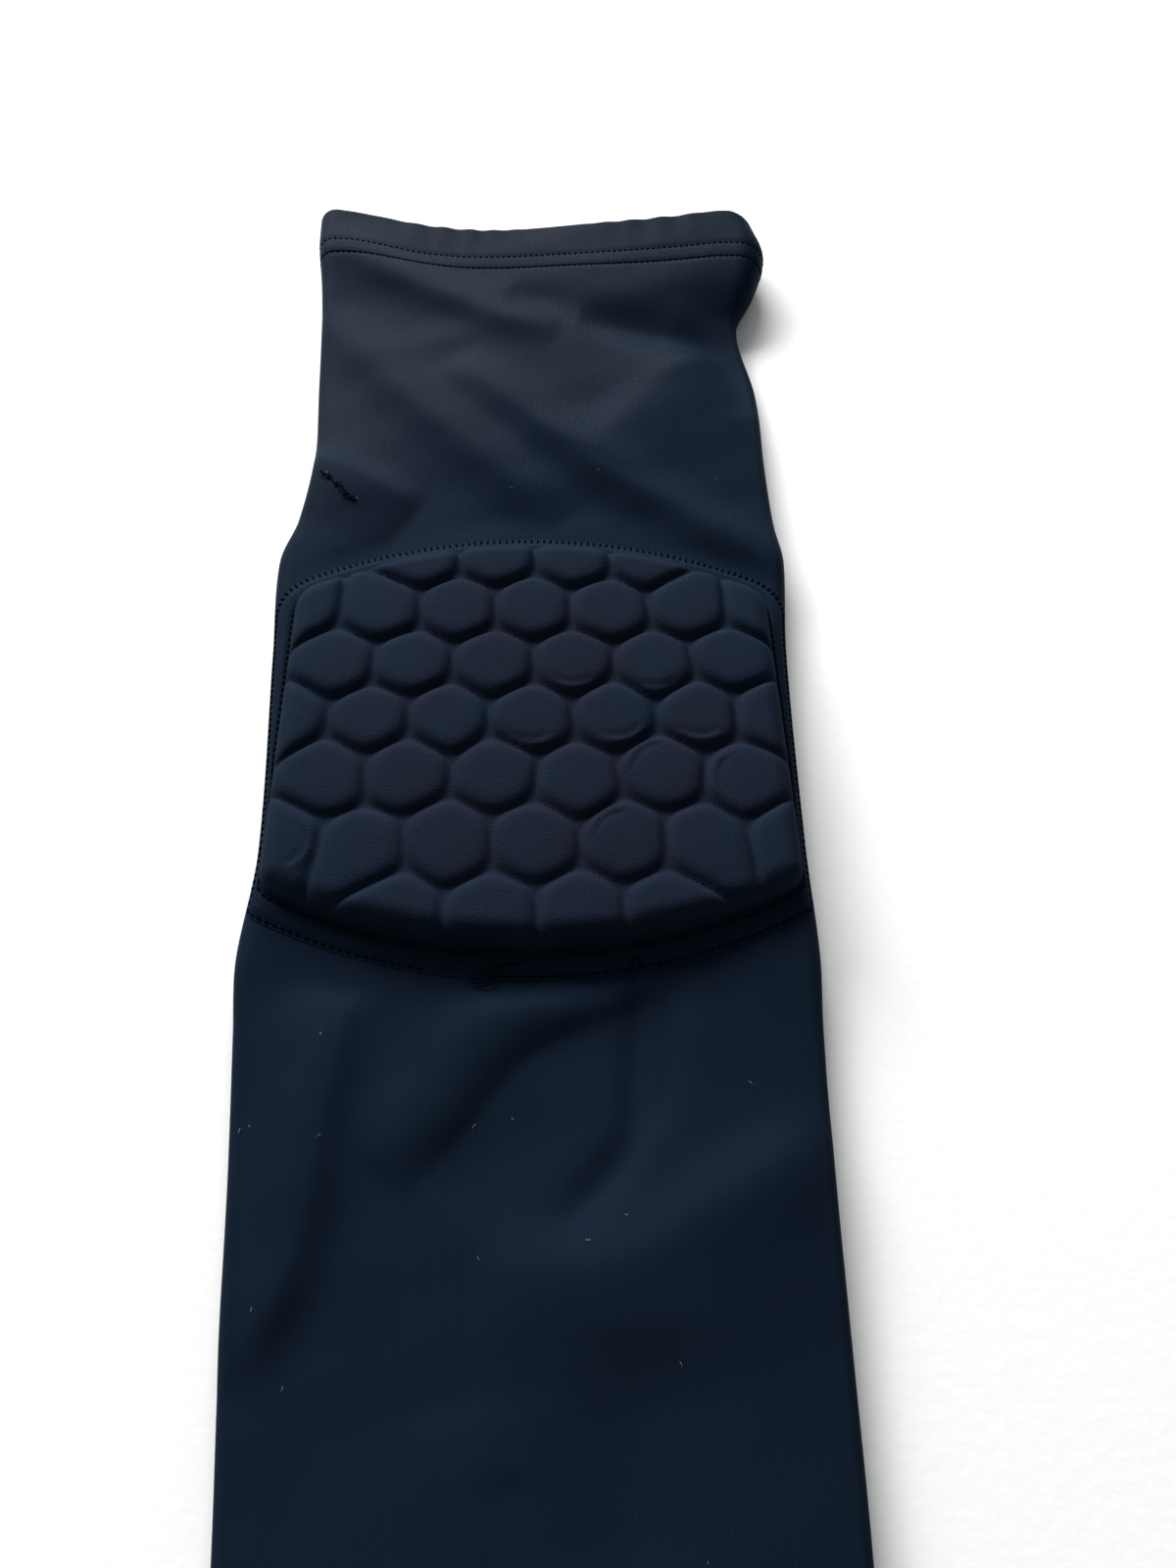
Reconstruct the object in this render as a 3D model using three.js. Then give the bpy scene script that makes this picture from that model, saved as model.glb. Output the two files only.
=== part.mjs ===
// Padded elbow sleeve: a knitted tube lying flat, with a turned hem at each mouth and a foam pad of raised
// six-sided cells sewn over the elbow. Millimetres, +Z up, +Y towards the upper arm. Plan places are measured
// from the middle of the pad, and the whole sleeve is centred over the origin at the end.
import * as THREE from "three";

// Cloth
const KNIT = 1.0; // one layer
const HEM_KNIT = 1.9; // the layer turned in once
const HEM_DEPTH = 21.5; // from the edge to the lower row of stitches
const HEM_EDGE_ROUND = 0.45; // how far the turned edge is rounded off
const GAP = 0.3; // between neighbouring pieces

// Pad
const CELL_PITCH = 19; // across the flats of a cell
const ROW_PITCH = CELL_PITCH * Math.sin(Math.PI / 3);
const PAD_HALF_WIDTH = 59.3;
const PAD_TOP = 55;
const PAD_BOTTOM = -56;
const PAD_ARC_RADIUS = 124; // of its top and bottom edges
const PAD_TOP_CORNER = 9;
const PAD_BOTTOM_CORNER = 5;
const PAD_OUTLINE_POINTS = 96;
const FOAM_THICK = 8; // at the cells' tops, in the middle
const FOAM_RIM = 4.8; // where the sides begin to round over
const GROOVE_DEPTH = 2.4;
const PAD_CROWN = { height: 1.2, across: 0.7, along: 0.3 }; // the middle's rise, shared by sides and ends
const SMALLEST_CELL = 0.18; // a smaller share of a cell stays at groove depth
const CELL_RINGS = [
  { scale: 0.86, drop: 0.55 }, // shoulder of a cell
  { scale: 0.68, drop: 0.1 }, // edge of its flat top
];

// Margin of cloth round the pad
const MARGIN_WIDTH = 6.5;
const MARGIN_THICK = 0.8;
const MARGIN_INSET = 1.2; // from the sleeve's own side edge
const MARGIN_EASE = 0.45; // more room under it where it bends over a side fold
const MARGIN_SPANS = 3;

// The lying tube: places of its side folds, height of its upper layer in the middle and at the two folds,
// and how full the layer stays towards the folds
const SEAT = 8.4; // height of the upper layer under the pad
const SECTIONS = [
  { y: 200, left: 69, right: 72.5, crown: 9.6, leftFold: 12.6, rightFold: 18, fullness: 1.8 }, // mouth
  { y: 187, left: 68.4, right: 75, crown: 9.5, leftFold: 12, rightFold: 17, fullness: 1.9 },
  { y: 170, left: 66.2, right: 70.5, crown: 9.6, leftFold: 10, rightFold: 12.6, fullness: 2.4 },
  { y: 154, left: 64.7, right: 64, crown: 9.6, leftFold: 7.6, rightFold: 7, fullness: 3 }, // tuck
  { y: 125, left: 63, right: 67, crown: 9.6, leftFold: 6.4, rightFold: 7, fullness: 4 },
  { y: 92, left: 61, right: 66.2, crown: 9.4, leftFold: 6.4, rightFold: 6.8, fullness: 4 },
  { y: 70, left: 63.2, right: 66.3, crown: 8.8, leftFold: 7.2, rightFold: 7.2, fullness: 4 },
  { y: 56, left: 66.6, right: 67.2, crown: SEAT, leftFold: SEAT, rightFold: SEAT, fullness: 4 }, // pad's top
  { y: 26, left: 65, right: 64.4, crown: SEAT, leftFold: SEAT, rightFold: SEAT, fullness: 4 },
  { y: -30, left: 61.9, right: 62.2, crown: SEAT, leftFold: SEAT, rightFold: SEAT, fullness: 4 },
  { y: -56, left: 63.5, right: 62, crown: SEAT, leftFold: SEAT, rightFold: SEAT, fullness: 4 }, // pad's foot
  { y: -72, left: 62, right: 60.6, crown: 8.9, leftFold: 7.2, rightFold: 7.2, fullness: 4 },
  { y: -100, left: 59.3, right: 58.9, crown: 9.4, leftFold: 6.4, rightFold: 6.4, fullness: 4 },
  { y: -131, left: 56.8, right: 57.8, crown: 9.4, leftFold: 6.4, rightFold: 6.4, fullness: 4 },
  { y: -165, left: 53.5, right: 56.4, crown: 9.3, leftFold: 6.8, rightFold: 6.8, fullness: 4 },
  { y: -216, left: 49.5, right: 53, crown: 9.4, leftFold: 7.4, rightFold: 7.4, fullness: 4 }, // mouth
];
const UPPER_ARM_EDGE = SECTIONS[0].y;
const FOREARM_EDGE = SECTIONS.at(-1).y;
const FOLD_RATIO = 0.55; // width of a side fold's bend over its height

// Soft folds of the upper layer: a ridge, or a dent if its height is negative, along a line of plan places. On the
// forearm side a fold's width is less by the share lee.
const FOLDS = [
  { along: [[-62, 183], [-50, 179], [-33, 170], [-12, 157], [4, 149]], width: 11, height: 1.7, lee: 0.75 }, // hem
  { along: [[-66, 155], [-52, 138], [-36, 115], [-22, 100], [-9, 85], [8, 68]], width: 10, height: 1.9, lee: 0.8 },
  { along: [[-24, 133], [-7, 115], [7, 99], [23, 83], [40, 71], [55, 60], [66, 53]], width: 10, height: 2.3, lee: 0.7 },
  { along: [[56, 138], [44, 129], [33, 116], [23, 100], [17, 90]], width: 8, height: 1.9, lee: 2 }, // below the tuck
  { along: [[24, 150], [38, 147], [50, 145], [58, 138]], width: 7, height: -1.3, lee: 1 }, // in the tuck
  { along: [[-66, 90], [-56, 87], [-47, 80], [-38, 74], [-25, 69]], width: 8, height: 2.2, lee: 1.6 }, // over the snag
  { along: [[-40, -72], [-42, -86], [-44, -112], [-47, -122], [-56, -136]], width: 13, height: 2.6, lee: 0.45 },
  { along: [[14, -62], [-3, -69], [-12, -76], [-18, -85], [-26, -94], [-32, -100]], width: 10, height: 2.3, lee: 0.8 },
  { along: [[-12, -120], [14, -120], [25, -115], [38, -107], [48, -101], [66, -95]], width: 8, height: 2.5, lee: 2.2 },
];
const FOLD_FADE = [9, 22]; // from the pad's outline, where folds begin and where they are full
const FOLD_EDGE_POWER = 6; // how late the folds die out towards the sides
const FOLD_END_POWER = 4; // how late a fold dies out towards its ends

// Facets
const TOP_SPANS = 24;
const BOTTOM_SPANS = 5;
const BEND_SPANS = 3; // to a quarter turn of a side fold
const FINE_STEP = 8; // along the sleeve, where it is folded
const COARSE_STEP = 14; // where it is smooth
const SMOOTH_STRETCHES = [
  { from: -52, to: 52 }, // under the pad
  { from: -216, to: -135 }, // towards the forearm mouth
];
const HEM_STEPS = 3;
const SHORTEST_END = 1.3; // the last step's longest reach, in fine steps
const CELL_ROWS = 4; // each way from the pad's middle row
const MERGE_STEP = 0.005; // points closer than this are one
const ON_LINE = 0.01; // how near a point of the outline lies to it

// Materials
const CLOTH_FINISH = { color: 0x10131c, roughness: 0.72, metalness: 0 };
const PAD_FINISH = { color: 0x171a21, roughness: 0.85, metalness: 0 };

const smooth = (edge0, edge1, value) => THREE.MathUtils.smoothstep(value, edge0, edge1);

/** One column of the section table at y, on a smooth curve through its rows. */
function column(key, y) {
  const rows = SECTIONS;
  const lowest = rows.length - 1;
  const below = rows.findIndex((row) => row.y <= y);
  const i = THREE.MathUtils.clamp(below < 0 ? lowest : below, 1, lowest) - 1;
  const [a, b] = [rows[i], rows[i + 1]];
  const slopeAt = (k) => {
    const [before, after] = [rows[Math.max(k - 1, 0)], rows[Math.min(k + 1, lowest)]];
    return (after[key] - before[key]) / (after.y - before.y);
  };
  const span = b.y - a.y;
  const t = THREE.MathUtils.clamp((y - a.y) / span, 0, 1);
  const flat = a[key] === b[key];
  const [slopeA, slopeB] = flat ? [0, 0] : [slopeAt(i) * span, slopeAt(i + 1) * span];
  const t2 = t * t;
  const t3 = t2 * t;
  const between = THREE.MathUtils.lerp(a[key], b[key], 3 * t2 - 2 * t3);
  return between + (t3 - 2 * t2 + t) * slopeA + (t3 - t2) * slopeB;
}

/** The section of the lying tube at y, as named sizes. */
function sectionAt(y) {
  const keys = ["left", "right", "crown", "leftFold", "rightFold", "fullness"];
  return Object.fromEntries(keys.map((key) => [key, column(key, y)]));
}

/** How far a plan place lies outside the pad's outline, with its corners taken as square. */
function outsidePad(x, y) {
  const overTop = Math.hypot(x, y - PAD_TOP + PAD_ARC_RADIUS) - PAD_ARC_RADIUS;
  const underFoot = Math.hypot(x, y - PAD_BOTTOM - PAD_ARC_RADIUS) - PAD_ARC_RADIUS;
  return Math.max(Math.abs(x) - PAD_HALF_WIDTH, overTop, underFoot);
}

/** One fold's height over a plan place, as a share of its own height. */
function foldShare({ along, width, lee }, x, y) {
  const steps = along.slice(1).map((to, i) => {
    const from = along[i];
    const length = Math.hypot(to[0] - from[0], to[1] - from[1]);
    return { from, length, way: [(to[0] - from[0]) / length, (to[1] - from[1]) / length] };
  });
  const whole = steps.reduce((sum, { length }) => sum + length, 0);
  let reached = 0;
  let nearest = { away: Infinity };
  for (const { from, length, way } of steps) {
    const [px, py] = [x - from[0], y - from[1]];
    const run = THREE.MathUtils.clamp(px * way[0] + py * way[1], 0, length);
    const away = Math.hypot(px - run * way[0], py - run * way[1]);
    const toForearm = (py * way[0] - px * way[1]) * way[0] < 0;
    if (away < nearest.away) nearest = { away, toForearm, share: (reached + run) / whole };
    reached += length;
  }
  const reach = nearest.toForearm ? width * lee : width;
  const taper = 1 - Math.abs(2 * nearest.share - 1) ** FOLD_END_POWER;
  return taper * Math.exp(-((nearest.away / reach) ** 2));
}

/** Height that the soft folds add to the upper layer at a plan place. */
function foldHeight(x, y) {
  const fade = smooth(FOLD_FADE[0], FOLD_FADE[1], outsidePad(x, y));
  return fade * FOLDS.reduce((sum, fold) => sum + fold.height * foldShare(fold, x, y), 0);
}

/** Height of the upper layer's outside at a plan place, before it bends into a side fold. */
function plateau(x, y, section) {
  const [half, fold] = x < 0 ? [section.left, section.leftFold] : [section.right, section.rightFold];
  const share = Math.min(Math.abs(x) / half, 1);
  const base = fold + (section.crown - fold) * (1 - share ** section.fullness);
  return base + foldHeight(x, y) * (1 - share ** FOLD_EDGE_POWER);
}

/** The bend of one side fold at y: the place where it starts, its width and its height. */
function bendAt(side, y, section) {
  const half = side < 0 ? section.left : section.right;
  const width = FOLD_RATIO * (side < 0 ? section.leftFold : section.rightFold);
  const start = half - width;
  return { start, width, height: plateau(side * start, y, section) };
}

/** Height of the upper layer's outside at a plan place, and how far round its side fold that is, 0 to 1. */
function topAt(x, y) {
  const section = sectionAt(y);
  const bend = bendAt(Math.sign(x) || 1, y, section);
  const turn = (Math.abs(x) - bend.start) / bend.width;
  if (turn <= 0) return { height: plateau(x, y, section), turn: 0 };
  return { height: (bend.height / 2) * (1 + Math.sqrt(Math.max(0, 1 - turn ** 2))), turn };
}

/** The tube's outside at y as [x, z] points, from the left along the floor and back over the top. */
function outsideLoop(y) {
  const section = sectionAt(y);
  const right = bendAt(1, y, section);
  const left = bendAt(-1, y, section);
  const loop = [];
  for (let i = 0; i <= BOTTOM_SPANS; i += 1) {
    loop.push([THREE.MathUtils.lerp(-left.start, right.start, i / BOTTOM_SPANS), 0]);
  }
  for (let i = 1; i < 2 * BEND_SPANS; i += 1) {
    const turn = -Math.PI / 2 + (Math.PI * i) / (2 * BEND_SPANS);
    loop.push([right.start + right.width * Math.cos(turn), (right.height / 2) * (1 + Math.sin(turn))]);
  }
  for (let i = 0; i <= TOP_SPANS; i += 1) {
    const x = THREE.MathUtils.lerp(right.start, -left.start, i / TOP_SPANS);
    loop.push([x, plateau(x, y, section)]);
  }
  for (let i = 1; i < 2 * BEND_SPANS; i += 1) {
    const turn = Math.PI / 2 + (Math.PI * i) / (2 * BEND_SPANS);
    loop.push([-left.start + left.width * Math.cos(turn), (left.height / 2) * (1 + Math.sin(turn))]);
  }
  return loop;
}

/** A loop moved inwards, square to its own outline. */
function inset(loop, depth) {
  return loop.map(([x, z], i) => {
    const before = loop[(i + loop.length - 1) % loop.length];
    const after = loop[(i + 1) % loop.length];
    const [tx, tz] = [after[0] - before[0], after[1] - before[1]];
    const length = Math.hypot(tx, tz);
    return [x - (tz / length) * depth, z + (tx / length) * depth];
  });
}

/** A closed geometry from points and triangles. */
function solid(points, triangles) {
  const geometry = new THREE.BufferGeometry();
  geometry.setAttribute("position", new THREE.Float32BufferAttribute(points.flat(), 3));
  geometry.setIndex(triangles.flat());
  geometry.computeVertexNormals();
  return geometry;
}

/** A stretch of hollow tube through stations of rising y, each with its wall's outer and inner depth. */
function tubeWall(stations) {
  const points = [];
  const triangles = [];
  const count = outsideLoop(stations[0].y).length;
  for (const { y, outer, inner } of stations) {
    const loop = outsideLoop(y);
    for (const depth of [outer, inner]) {
      for (const [x, z] of depth > 0 ? inset(loop, depth) : loop) points.push([x, y, z]);
    }
  }
  const at = (station, wall, i) => (station * 2 + wall) * count + (i % count);
  const quad = (a, b, c, d) => triangles.push([a, b, c], [a, c, d]);
  const last = stations.length - 1;
  for (let i = 0; i < count; i += 1) {
    for (let s = 0; s < last; s += 1) {
      quad(at(s, 0, i), at(s + 1, 0, i), at(s + 1, 0, i + 1), at(s, 0, i + 1));
      quad(at(s, 1, i), at(s, 1, i + 1), at(s + 1, 1, i + 1), at(s + 1, 1, i));
    }
    quad(at(0, 0, i), at(0, 0, i + 1), at(0, 1, i + 1), at(0, 1, i));
    quad(at(last, 0, i), at(last, 1, i), at(last, 1, i + 1), at(last, 0, i + 1));
  }
  return solid(points, triangles);
}

/** Places along the sleeve body, close together where the cloth is folded. */
function bodyStations() {
  const first = FOREARM_EDGE + HEM_DEPTH + GAP / 2;
  const last = UPPER_ARM_EDGE - HEM_DEPTH - GAP / 2;
  const places = [first];
  while (last - places.at(-1) > SHORTEST_END * FINE_STEP) {
    const here = places.at(-1);
    const even = SMOOTH_STRETCHES.some(({ from, to }) => here >= from && here + COARSE_STEP <= to);
    places.push(here + (even ? COARSE_STEP : FINE_STEP));
  }
  places.push(last);
  return places.map((y) => ({ y, outer: 0, inner: KNIT }));
}

/** Places along a hem, from its row of stitches to its rounded edge. */
function hemStations(edge, towards) {
  const stations = [];
  for (let i = 0; i <= HEM_STEPS; i += 1) {
    const depth = THREE.MathUtils.lerp(HEM_DEPTH - GAP / 2, 2 * HEM_EDGE_ROUND, i / HEM_STEPS);
    stations.push({ y: edge - towards * depth, outer: 0, inner: HEM_KNIT });
  }
  stations.push({ y: edge, outer: HEM_EDGE_ROUND, inner: HEM_KNIT - HEM_EDGE_ROUND });
  return towards > 0 ? stations : stations.reverse();
}

/** The pad's barrel-shaped outline, of arcs and straight sides, as points that turn to the left. */
function padOutline() {
  const path = new THREE.Path();
  const arcCentre = { top: PAD_TOP - PAD_ARC_RADIUS, bottom: PAD_BOTTOM + PAD_ARC_RADIUS };
  const corner = (radius) => {
    const x = PAD_HALF_WIDTH - radius;
    const rise = Math.sqrt((PAD_ARC_RADIUS - radius) ** 2 - x ** 2);
    return { x, rise, angle: Math.atan2(rise, x) };
  };
  const top = corner(PAD_TOP_CORNER);
  const bottom = corner(PAD_BOTTOM_CORNER);
  const topY = arcCentre.top + top.rise;
  const bottomY = arcCentre.bottom - bottom.rise;
  path.absarc(top.x, topY, PAD_TOP_CORNER, 0, top.angle);
  path.absarc(0, arcCentre.top, PAD_ARC_RADIUS, top.angle, Math.PI - top.angle);
  path.absarc(-top.x, topY, PAD_TOP_CORNER, Math.PI - top.angle, Math.PI);
  path.absarc(-bottom.x, bottomY, PAD_BOTTOM_CORNER, Math.PI, Math.PI + bottom.angle);
  path.absarc(0, arcCentre.bottom, PAD_ARC_RADIUS, Math.PI + bottom.angle, 2 * Math.PI - bottom.angle);
  path.absarc(bottom.x, bottomY, PAD_BOTTOM_CORNER, 2 * Math.PI - bottom.angle, 2 * Math.PI);
  path.closePath();
  return path.getSpacedPoints(PAD_OUTLINE_POINTS).slice(0, PAD_OUTLINE_POINTS);
}

/** The part of a convex polygon that lies inside a convex outline that turns to the left. */
function clip(polygon, outline) {
  let kept = polygon;
  outline.forEach((a, i) => {
    const b = outline[(i + 1) % outline.length];
    const side = (p) => (b.x - a.x) * (p.y - a.y) - (b.y - a.y) * (p.x - a.x);
    const next = [];
    kept.forEach((p, k) => {
      const q = kept[(k + 1) % kept.length];
      const [sp, sq] = [side(p), side(q)];
      if (sp >= 0) next.push(p);
      if (sp >= 0 !== sq >= 0) next.push(p.clone().lerp(q, sp / (sp - sq)));
    });
    kept = next;
  });
  return kept;
}

/** The six-sided cells of the pad, cut off at its outline. */
function padCells(outline) {
  const cells = [];
  const reach = Math.ceil(PAD_HALF_WIDTH / CELL_PITCH) + 1;
  for (let row = -CELL_ROWS; row <= CELL_ROWS; row += 1) {
    for (let k = -reach; k <= reach; k += 1) {
      const shift = row % 2 === 0 ? 0 : 0.5;
      const middle = new THREE.Vector2((k + shift) * CELL_PITCH, row * ROW_PITCH);
      const corners = Array.from({ length: 6 }, (_, i) => {
        const turn = Math.PI / 6 + (i * Math.PI) / 3;
        const reachOut = CELL_PITCH / Math.sqrt(3);
        return new THREE.Vector2(Math.cos(turn), Math.sin(turn)).multiplyScalar(reachOut).add(middle);
      });
      const polygon = clip(corners, outline);
      if (polygon.length > 2) cells.push(polygon);
    }
  }
  return cells;
}

/** The foam pad: a flat underside, upright sides and a top of cells between grooves. */
function padGeometry() {
  const outline = padOutline();
  const base = SEAT + GAP;
  const points = [];
  const triangles = [];
  const known = new Map();
  const vertex = (x, y, z) => {
    const key = [x, y, z].map((value) => Math.round(value / MERGE_STEP)).join(" ");
    if (!known.has(key)) known.set(key, points.push([x, y, z]) - 1);
    return known.get(key);
  };
  const onRim = (p) =>
    outline.some((a, i) => {
      const b = outline[(i + 1) % outline.length];
      const length = a.distanceTo(b);
      const off = Math.abs((b.x - a.x) * (p.y - a.y) - (b.y - a.y) * (p.x - a.x)) / length;
      return off < ON_LINE && Math.max(p.distanceTo(a), p.distanceTo(b)) <= length + ON_LINE;
    });
  const fall = (x, y) => PAD_CROWN.across * (x / PAD_HALF_WIDTH) ** 2 + PAD_CROWN.along * (y / PAD_TOP) ** 2;
  const topZ = (x, y) => base + FOAM_THICK - PAD_CROWN.height * fall(x, y);
  const fullArea = (CELL_PITCH ** 2 * Math.sqrt(3)) / 2;
  for (const polygon of padCells(outline)) {
    const middle = polygon.reduce((sum, p) => sum.add(p), new THREE.Vector2()).divideScalar(polygon.length);
    const raised = THREE.ShapeUtils.area(polygon) > SMALLEST_CELL * fullArea;
    const floor = polygon.map((p) => {
      const z = onRim(p) ? base + FOAM_RIM : topZ(p.x, p.y) - GROOVE_DEPTH;
      return vertex(p.x, p.y, z);
    });
    const rings = [floor];
    for (const { scale, drop } of CELL_RINGS) {
      rings.push(
        polygon.map((p) => {
          const q = middle.clone().lerp(p, scale);
          return vertex(q.x, q.y, topZ(q.x, q.y) - (raised ? drop : GROOVE_DEPTH));
        }),
      );
    }
    const centre = vertex(middle.x, middle.y, topZ(middle.x, middle.y) - (raised ? 0 : GROOVE_DEPTH));
    polygon.forEach((_, i) => {
      const j = (i + 1) % polygon.length;
      for (let r = 0; r + 1 < rings.length; r += 1) {
        const [outer, inner] = [rings[r], rings[r + 1]];
        triangles.push([outer[i], outer[j], inner[j]], [outer[i], inner[j], inner[i]]);
      }
      triangles.push([rings.at(-1)[i], rings.at(-1)[j], centre]);
    });
  }
  const whole = triangles.filter(([a, b, c]) => a !== b && b !== c && c !== a);
  const rim = boundaryLoop(whole);
  const foot = rim.map((i) => vertex(points[i][0], points[i][1], base));
  rim.forEach((_, i) => {
    const j = (i + 1) % rim.length;
    whole.push([rim[i], foot[i], foot[j]], [rim[i], foot[j], rim[j]]);
  });
  const footShape = foot.map((i) => new THREE.Vector2(points[i][0], points[i][1]));
  for (const [a, b, c] of THREE.ShapeUtils.triangulateShape(footShape, [])) {
    whole.push([foot[a], foot[c], foot[b]]);
  }
  return solid(points, whole);
}

/** The open edge of a sheet of triangles, as one loop of points in the triangles' own turning sense. */
function boundaryLoop(triangles) {
  const edges = new Map();
  for (const triangle of triangles) {
    triangle.forEach((a, i) => edges.set(`${a} ${triangle[(i + 1) % 3]}`, [a, triangle[(i + 1) % 3]]));
  }
  const next = new Map();
  for (const [a, b] of edges.values()) {
    if (!edges.has(`${b} ${a}`)) next.set(a, b);
  }
  const start = next.keys().next().value;
  const loop = [start];
  while (next.get(loop.at(-1)) !== start) loop.push(next.get(loop.at(-1)));
  return loop;
}

/** The cloth rim sewn down round the pad, which follows the sleeve over its side folds. */
function marginGeometry() {
  const outline = padOutline();
  const points = [];
  const triangles = [];
  const lanes = MARGIN_SPANS + 1;
  outline.forEach((p, i) => {
    const before = outline[(i + outline.length - 1) % outline.length];
    const after = outline[(i + 1) % outline.length];
    const along = after.clone().sub(before).normalize();
    const out = new THREE.Vector2(along.y, -along.x);
    const inner = p.clone().addScaledVector(out, GAP);
    const outer = p.clone().addScaledVector(out, MARGIN_WIDTH);
    const section = sectionAt(outer.y);
    outer.x = THREE.MathUtils.clamp(outer.x, MARGIN_INSET - section.left, section.right - MARGIN_INSET);
    for (const lift of [GAP, GAP + MARGIN_THICK]) {
      for (let lane = 0; lane < lanes; lane += 1) {
        const q = inner.clone().lerp(outer, lane / MARGIN_SPANS);
        const top = topAt(q.x, q.y);
        points.push([q.x, q.y, top.height + MARGIN_EASE * top.turn + lift]);
      }
    }
  });
  const at = (i, layer, lane) => ((i % outline.length) * 2 + layer) * lanes + lane;
  const quad = (a, b, c, d) => triangles.push([a, b, c], [a, c, d]);
  for (let i = 0; i < outline.length; i += 1) {
    for (let lane = 0; lane < MARGIN_SPANS; lane += 1) {
      quad(at(i, 1, lane), at(i, 1, lane + 1), at(i + 1, 1, lane + 1), at(i + 1, 1, lane));
      quad(at(i, 0, lane), at(i + 1, 0, lane), at(i + 1, 0, lane + 1), at(i, 0, lane + 1));
    }
    quad(at(i, 0, 0), at(i, 1, 0), at(i + 1, 1, 0), at(i + 1, 0, 0));
    const edge = MARGIN_SPANS;
    quad(at(i, 0, edge), at(i + 1, 0, edge), at(i + 1, 1, edge), at(i, 1, edge));
  }
  return solid(points, triangles);
}

/** A named mesh with its own finish. */
function piece(name, geometry, finish) {
  const mesh = new THREE.Mesh(geometry, new THREE.MeshStandardMaterial(finish));
  mesh.name = name;
  return mesh;
}

const sleeve = new THREE.Group();
sleeve.add(
  piece("sleeve_body", tubeWall(bodyStations()), CLOTH_FINISH),
  piece("upper_arm_hem", tubeWall(hemStations(UPPER_ARM_EDGE, 1)), CLOTH_FINISH),
  piece("forearm_hem", tubeWall(hemStations(FOREARM_EDGE, -1)), CLOTH_FINISH),
  piece("elbow_pad", padGeometry(), PAD_FINISH),
  piece("pad_margin", marginGeometry(), CLOTH_FINISH),
);

// The origin is on the floor under the middle of the whole sleeve
const middle = new THREE.Box3().setFromObject(sleeve).getCenter(new THREE.Vector3());
sleeve.position.set(-middle.x, -middle.y, 0);

const part = new THREE.Group();
part.add(sleeve);
export default part;
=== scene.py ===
"""Looks of a padded elbow sleeve that lies flat: its knit, hems, moulded pad, stitches and wear.

Plan places are millimetres from the middle of the pad, +Y towards the upper arm. A piece's mesh is put
into the frame, in metres, when it is made.
"""

import logging
import math
from dataclasses import dataclass
from enum import Enum

import bpy
import numpy as np
from mathutils import Matrix, Vector


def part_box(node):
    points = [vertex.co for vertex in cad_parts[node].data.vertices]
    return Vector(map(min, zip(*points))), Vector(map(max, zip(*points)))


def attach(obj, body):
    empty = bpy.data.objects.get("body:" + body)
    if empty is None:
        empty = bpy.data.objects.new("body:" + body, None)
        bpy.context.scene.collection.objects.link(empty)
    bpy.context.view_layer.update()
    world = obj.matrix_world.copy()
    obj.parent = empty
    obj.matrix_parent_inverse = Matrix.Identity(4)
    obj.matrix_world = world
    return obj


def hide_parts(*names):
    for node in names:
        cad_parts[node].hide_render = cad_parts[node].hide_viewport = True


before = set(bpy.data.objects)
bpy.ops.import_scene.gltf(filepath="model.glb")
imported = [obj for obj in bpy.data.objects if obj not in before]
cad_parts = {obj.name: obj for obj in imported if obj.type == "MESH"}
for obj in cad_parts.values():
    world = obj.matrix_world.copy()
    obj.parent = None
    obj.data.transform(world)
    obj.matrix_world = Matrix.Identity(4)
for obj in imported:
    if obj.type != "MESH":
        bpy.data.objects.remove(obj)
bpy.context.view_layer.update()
LOG = logging.getLogger("sleeve")

MM = 0.001
BODY = "root"
SEED = 19
CLOTH_MAP = "cloth"
LIE = "lie"
TINY = 1e-6

Array = np.ndarray
Vec = tuple[float, float, float]
Place = tuple[float, float]
Colour = tuple[float, float, float, float]
Piece = bpy.types.Object
Mesh = bpy.types.Mesh
Material = bpy.types.Material
Tree = bpy.types.NodeTree
Socket = bpy.types.NodeSocket


class Slot(Enum):
    """The record's material slots."""

    KNIT = "knit"
    PAD_COVER = "pad_cover"


class Stitch(Enum):
    """Kinds of stitch, as (pitch, length, rise, thickness in mm, turn across the seam in degrees)."""

    HEM = (1.8, 1.35, 0.16, 0.34, 0.0)
    RUNNING = (1.9, 1.4, 0.2, 0.5, 0.0)
    BAR = (1.65, 1.9, 0.18, 0.5, 90.0)


# Numbers


def smooth(low: float, high: float, value: Array) -> Array:
    """A smooth step from 0 at low to 1 at high."""
    t = np.clip((value - low) / (high - low), 0.0, 1.0)
    return t * t * (3.0 - 2.0 * t)


def bell(value: Array, width: float | Array) -> Array:
    """A bell of height 1 over 0."""
    return np.exp(-((value / width) ** 2))


def spread(low: float, high: float, step: float, fine: float, ends: float) -> Array:
    """Places from low to high, closer together near both ends.

    Args:
        low: First place.
        high: Last place.
        step: Distance between places in the middle.
        fine: Distance between places near the ends.
        ends: Length of the fine stretch at each end.

    Returns:
        The places, in rising order.
    """
    count = max(2, round(ends / fine))
    head = np.linspace(low, low + ends, count, endpoint=False)
    middle = np.linspace(low + ends, high - ends, max(2, round((high - low - 2 * ends) / step)))
    return np.concatenate([head, middle, low + high - head[::-1]])


# The lying tube


@dataclass(frozen=True)
class Section:
    """A section of the lying tube: its side folds' places, its upper layer's heights and its fullness."""

    y: float
    left: float
    right: float
    crown: float
    left_fold: float
    right_fold: float
    fullness: float


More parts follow.
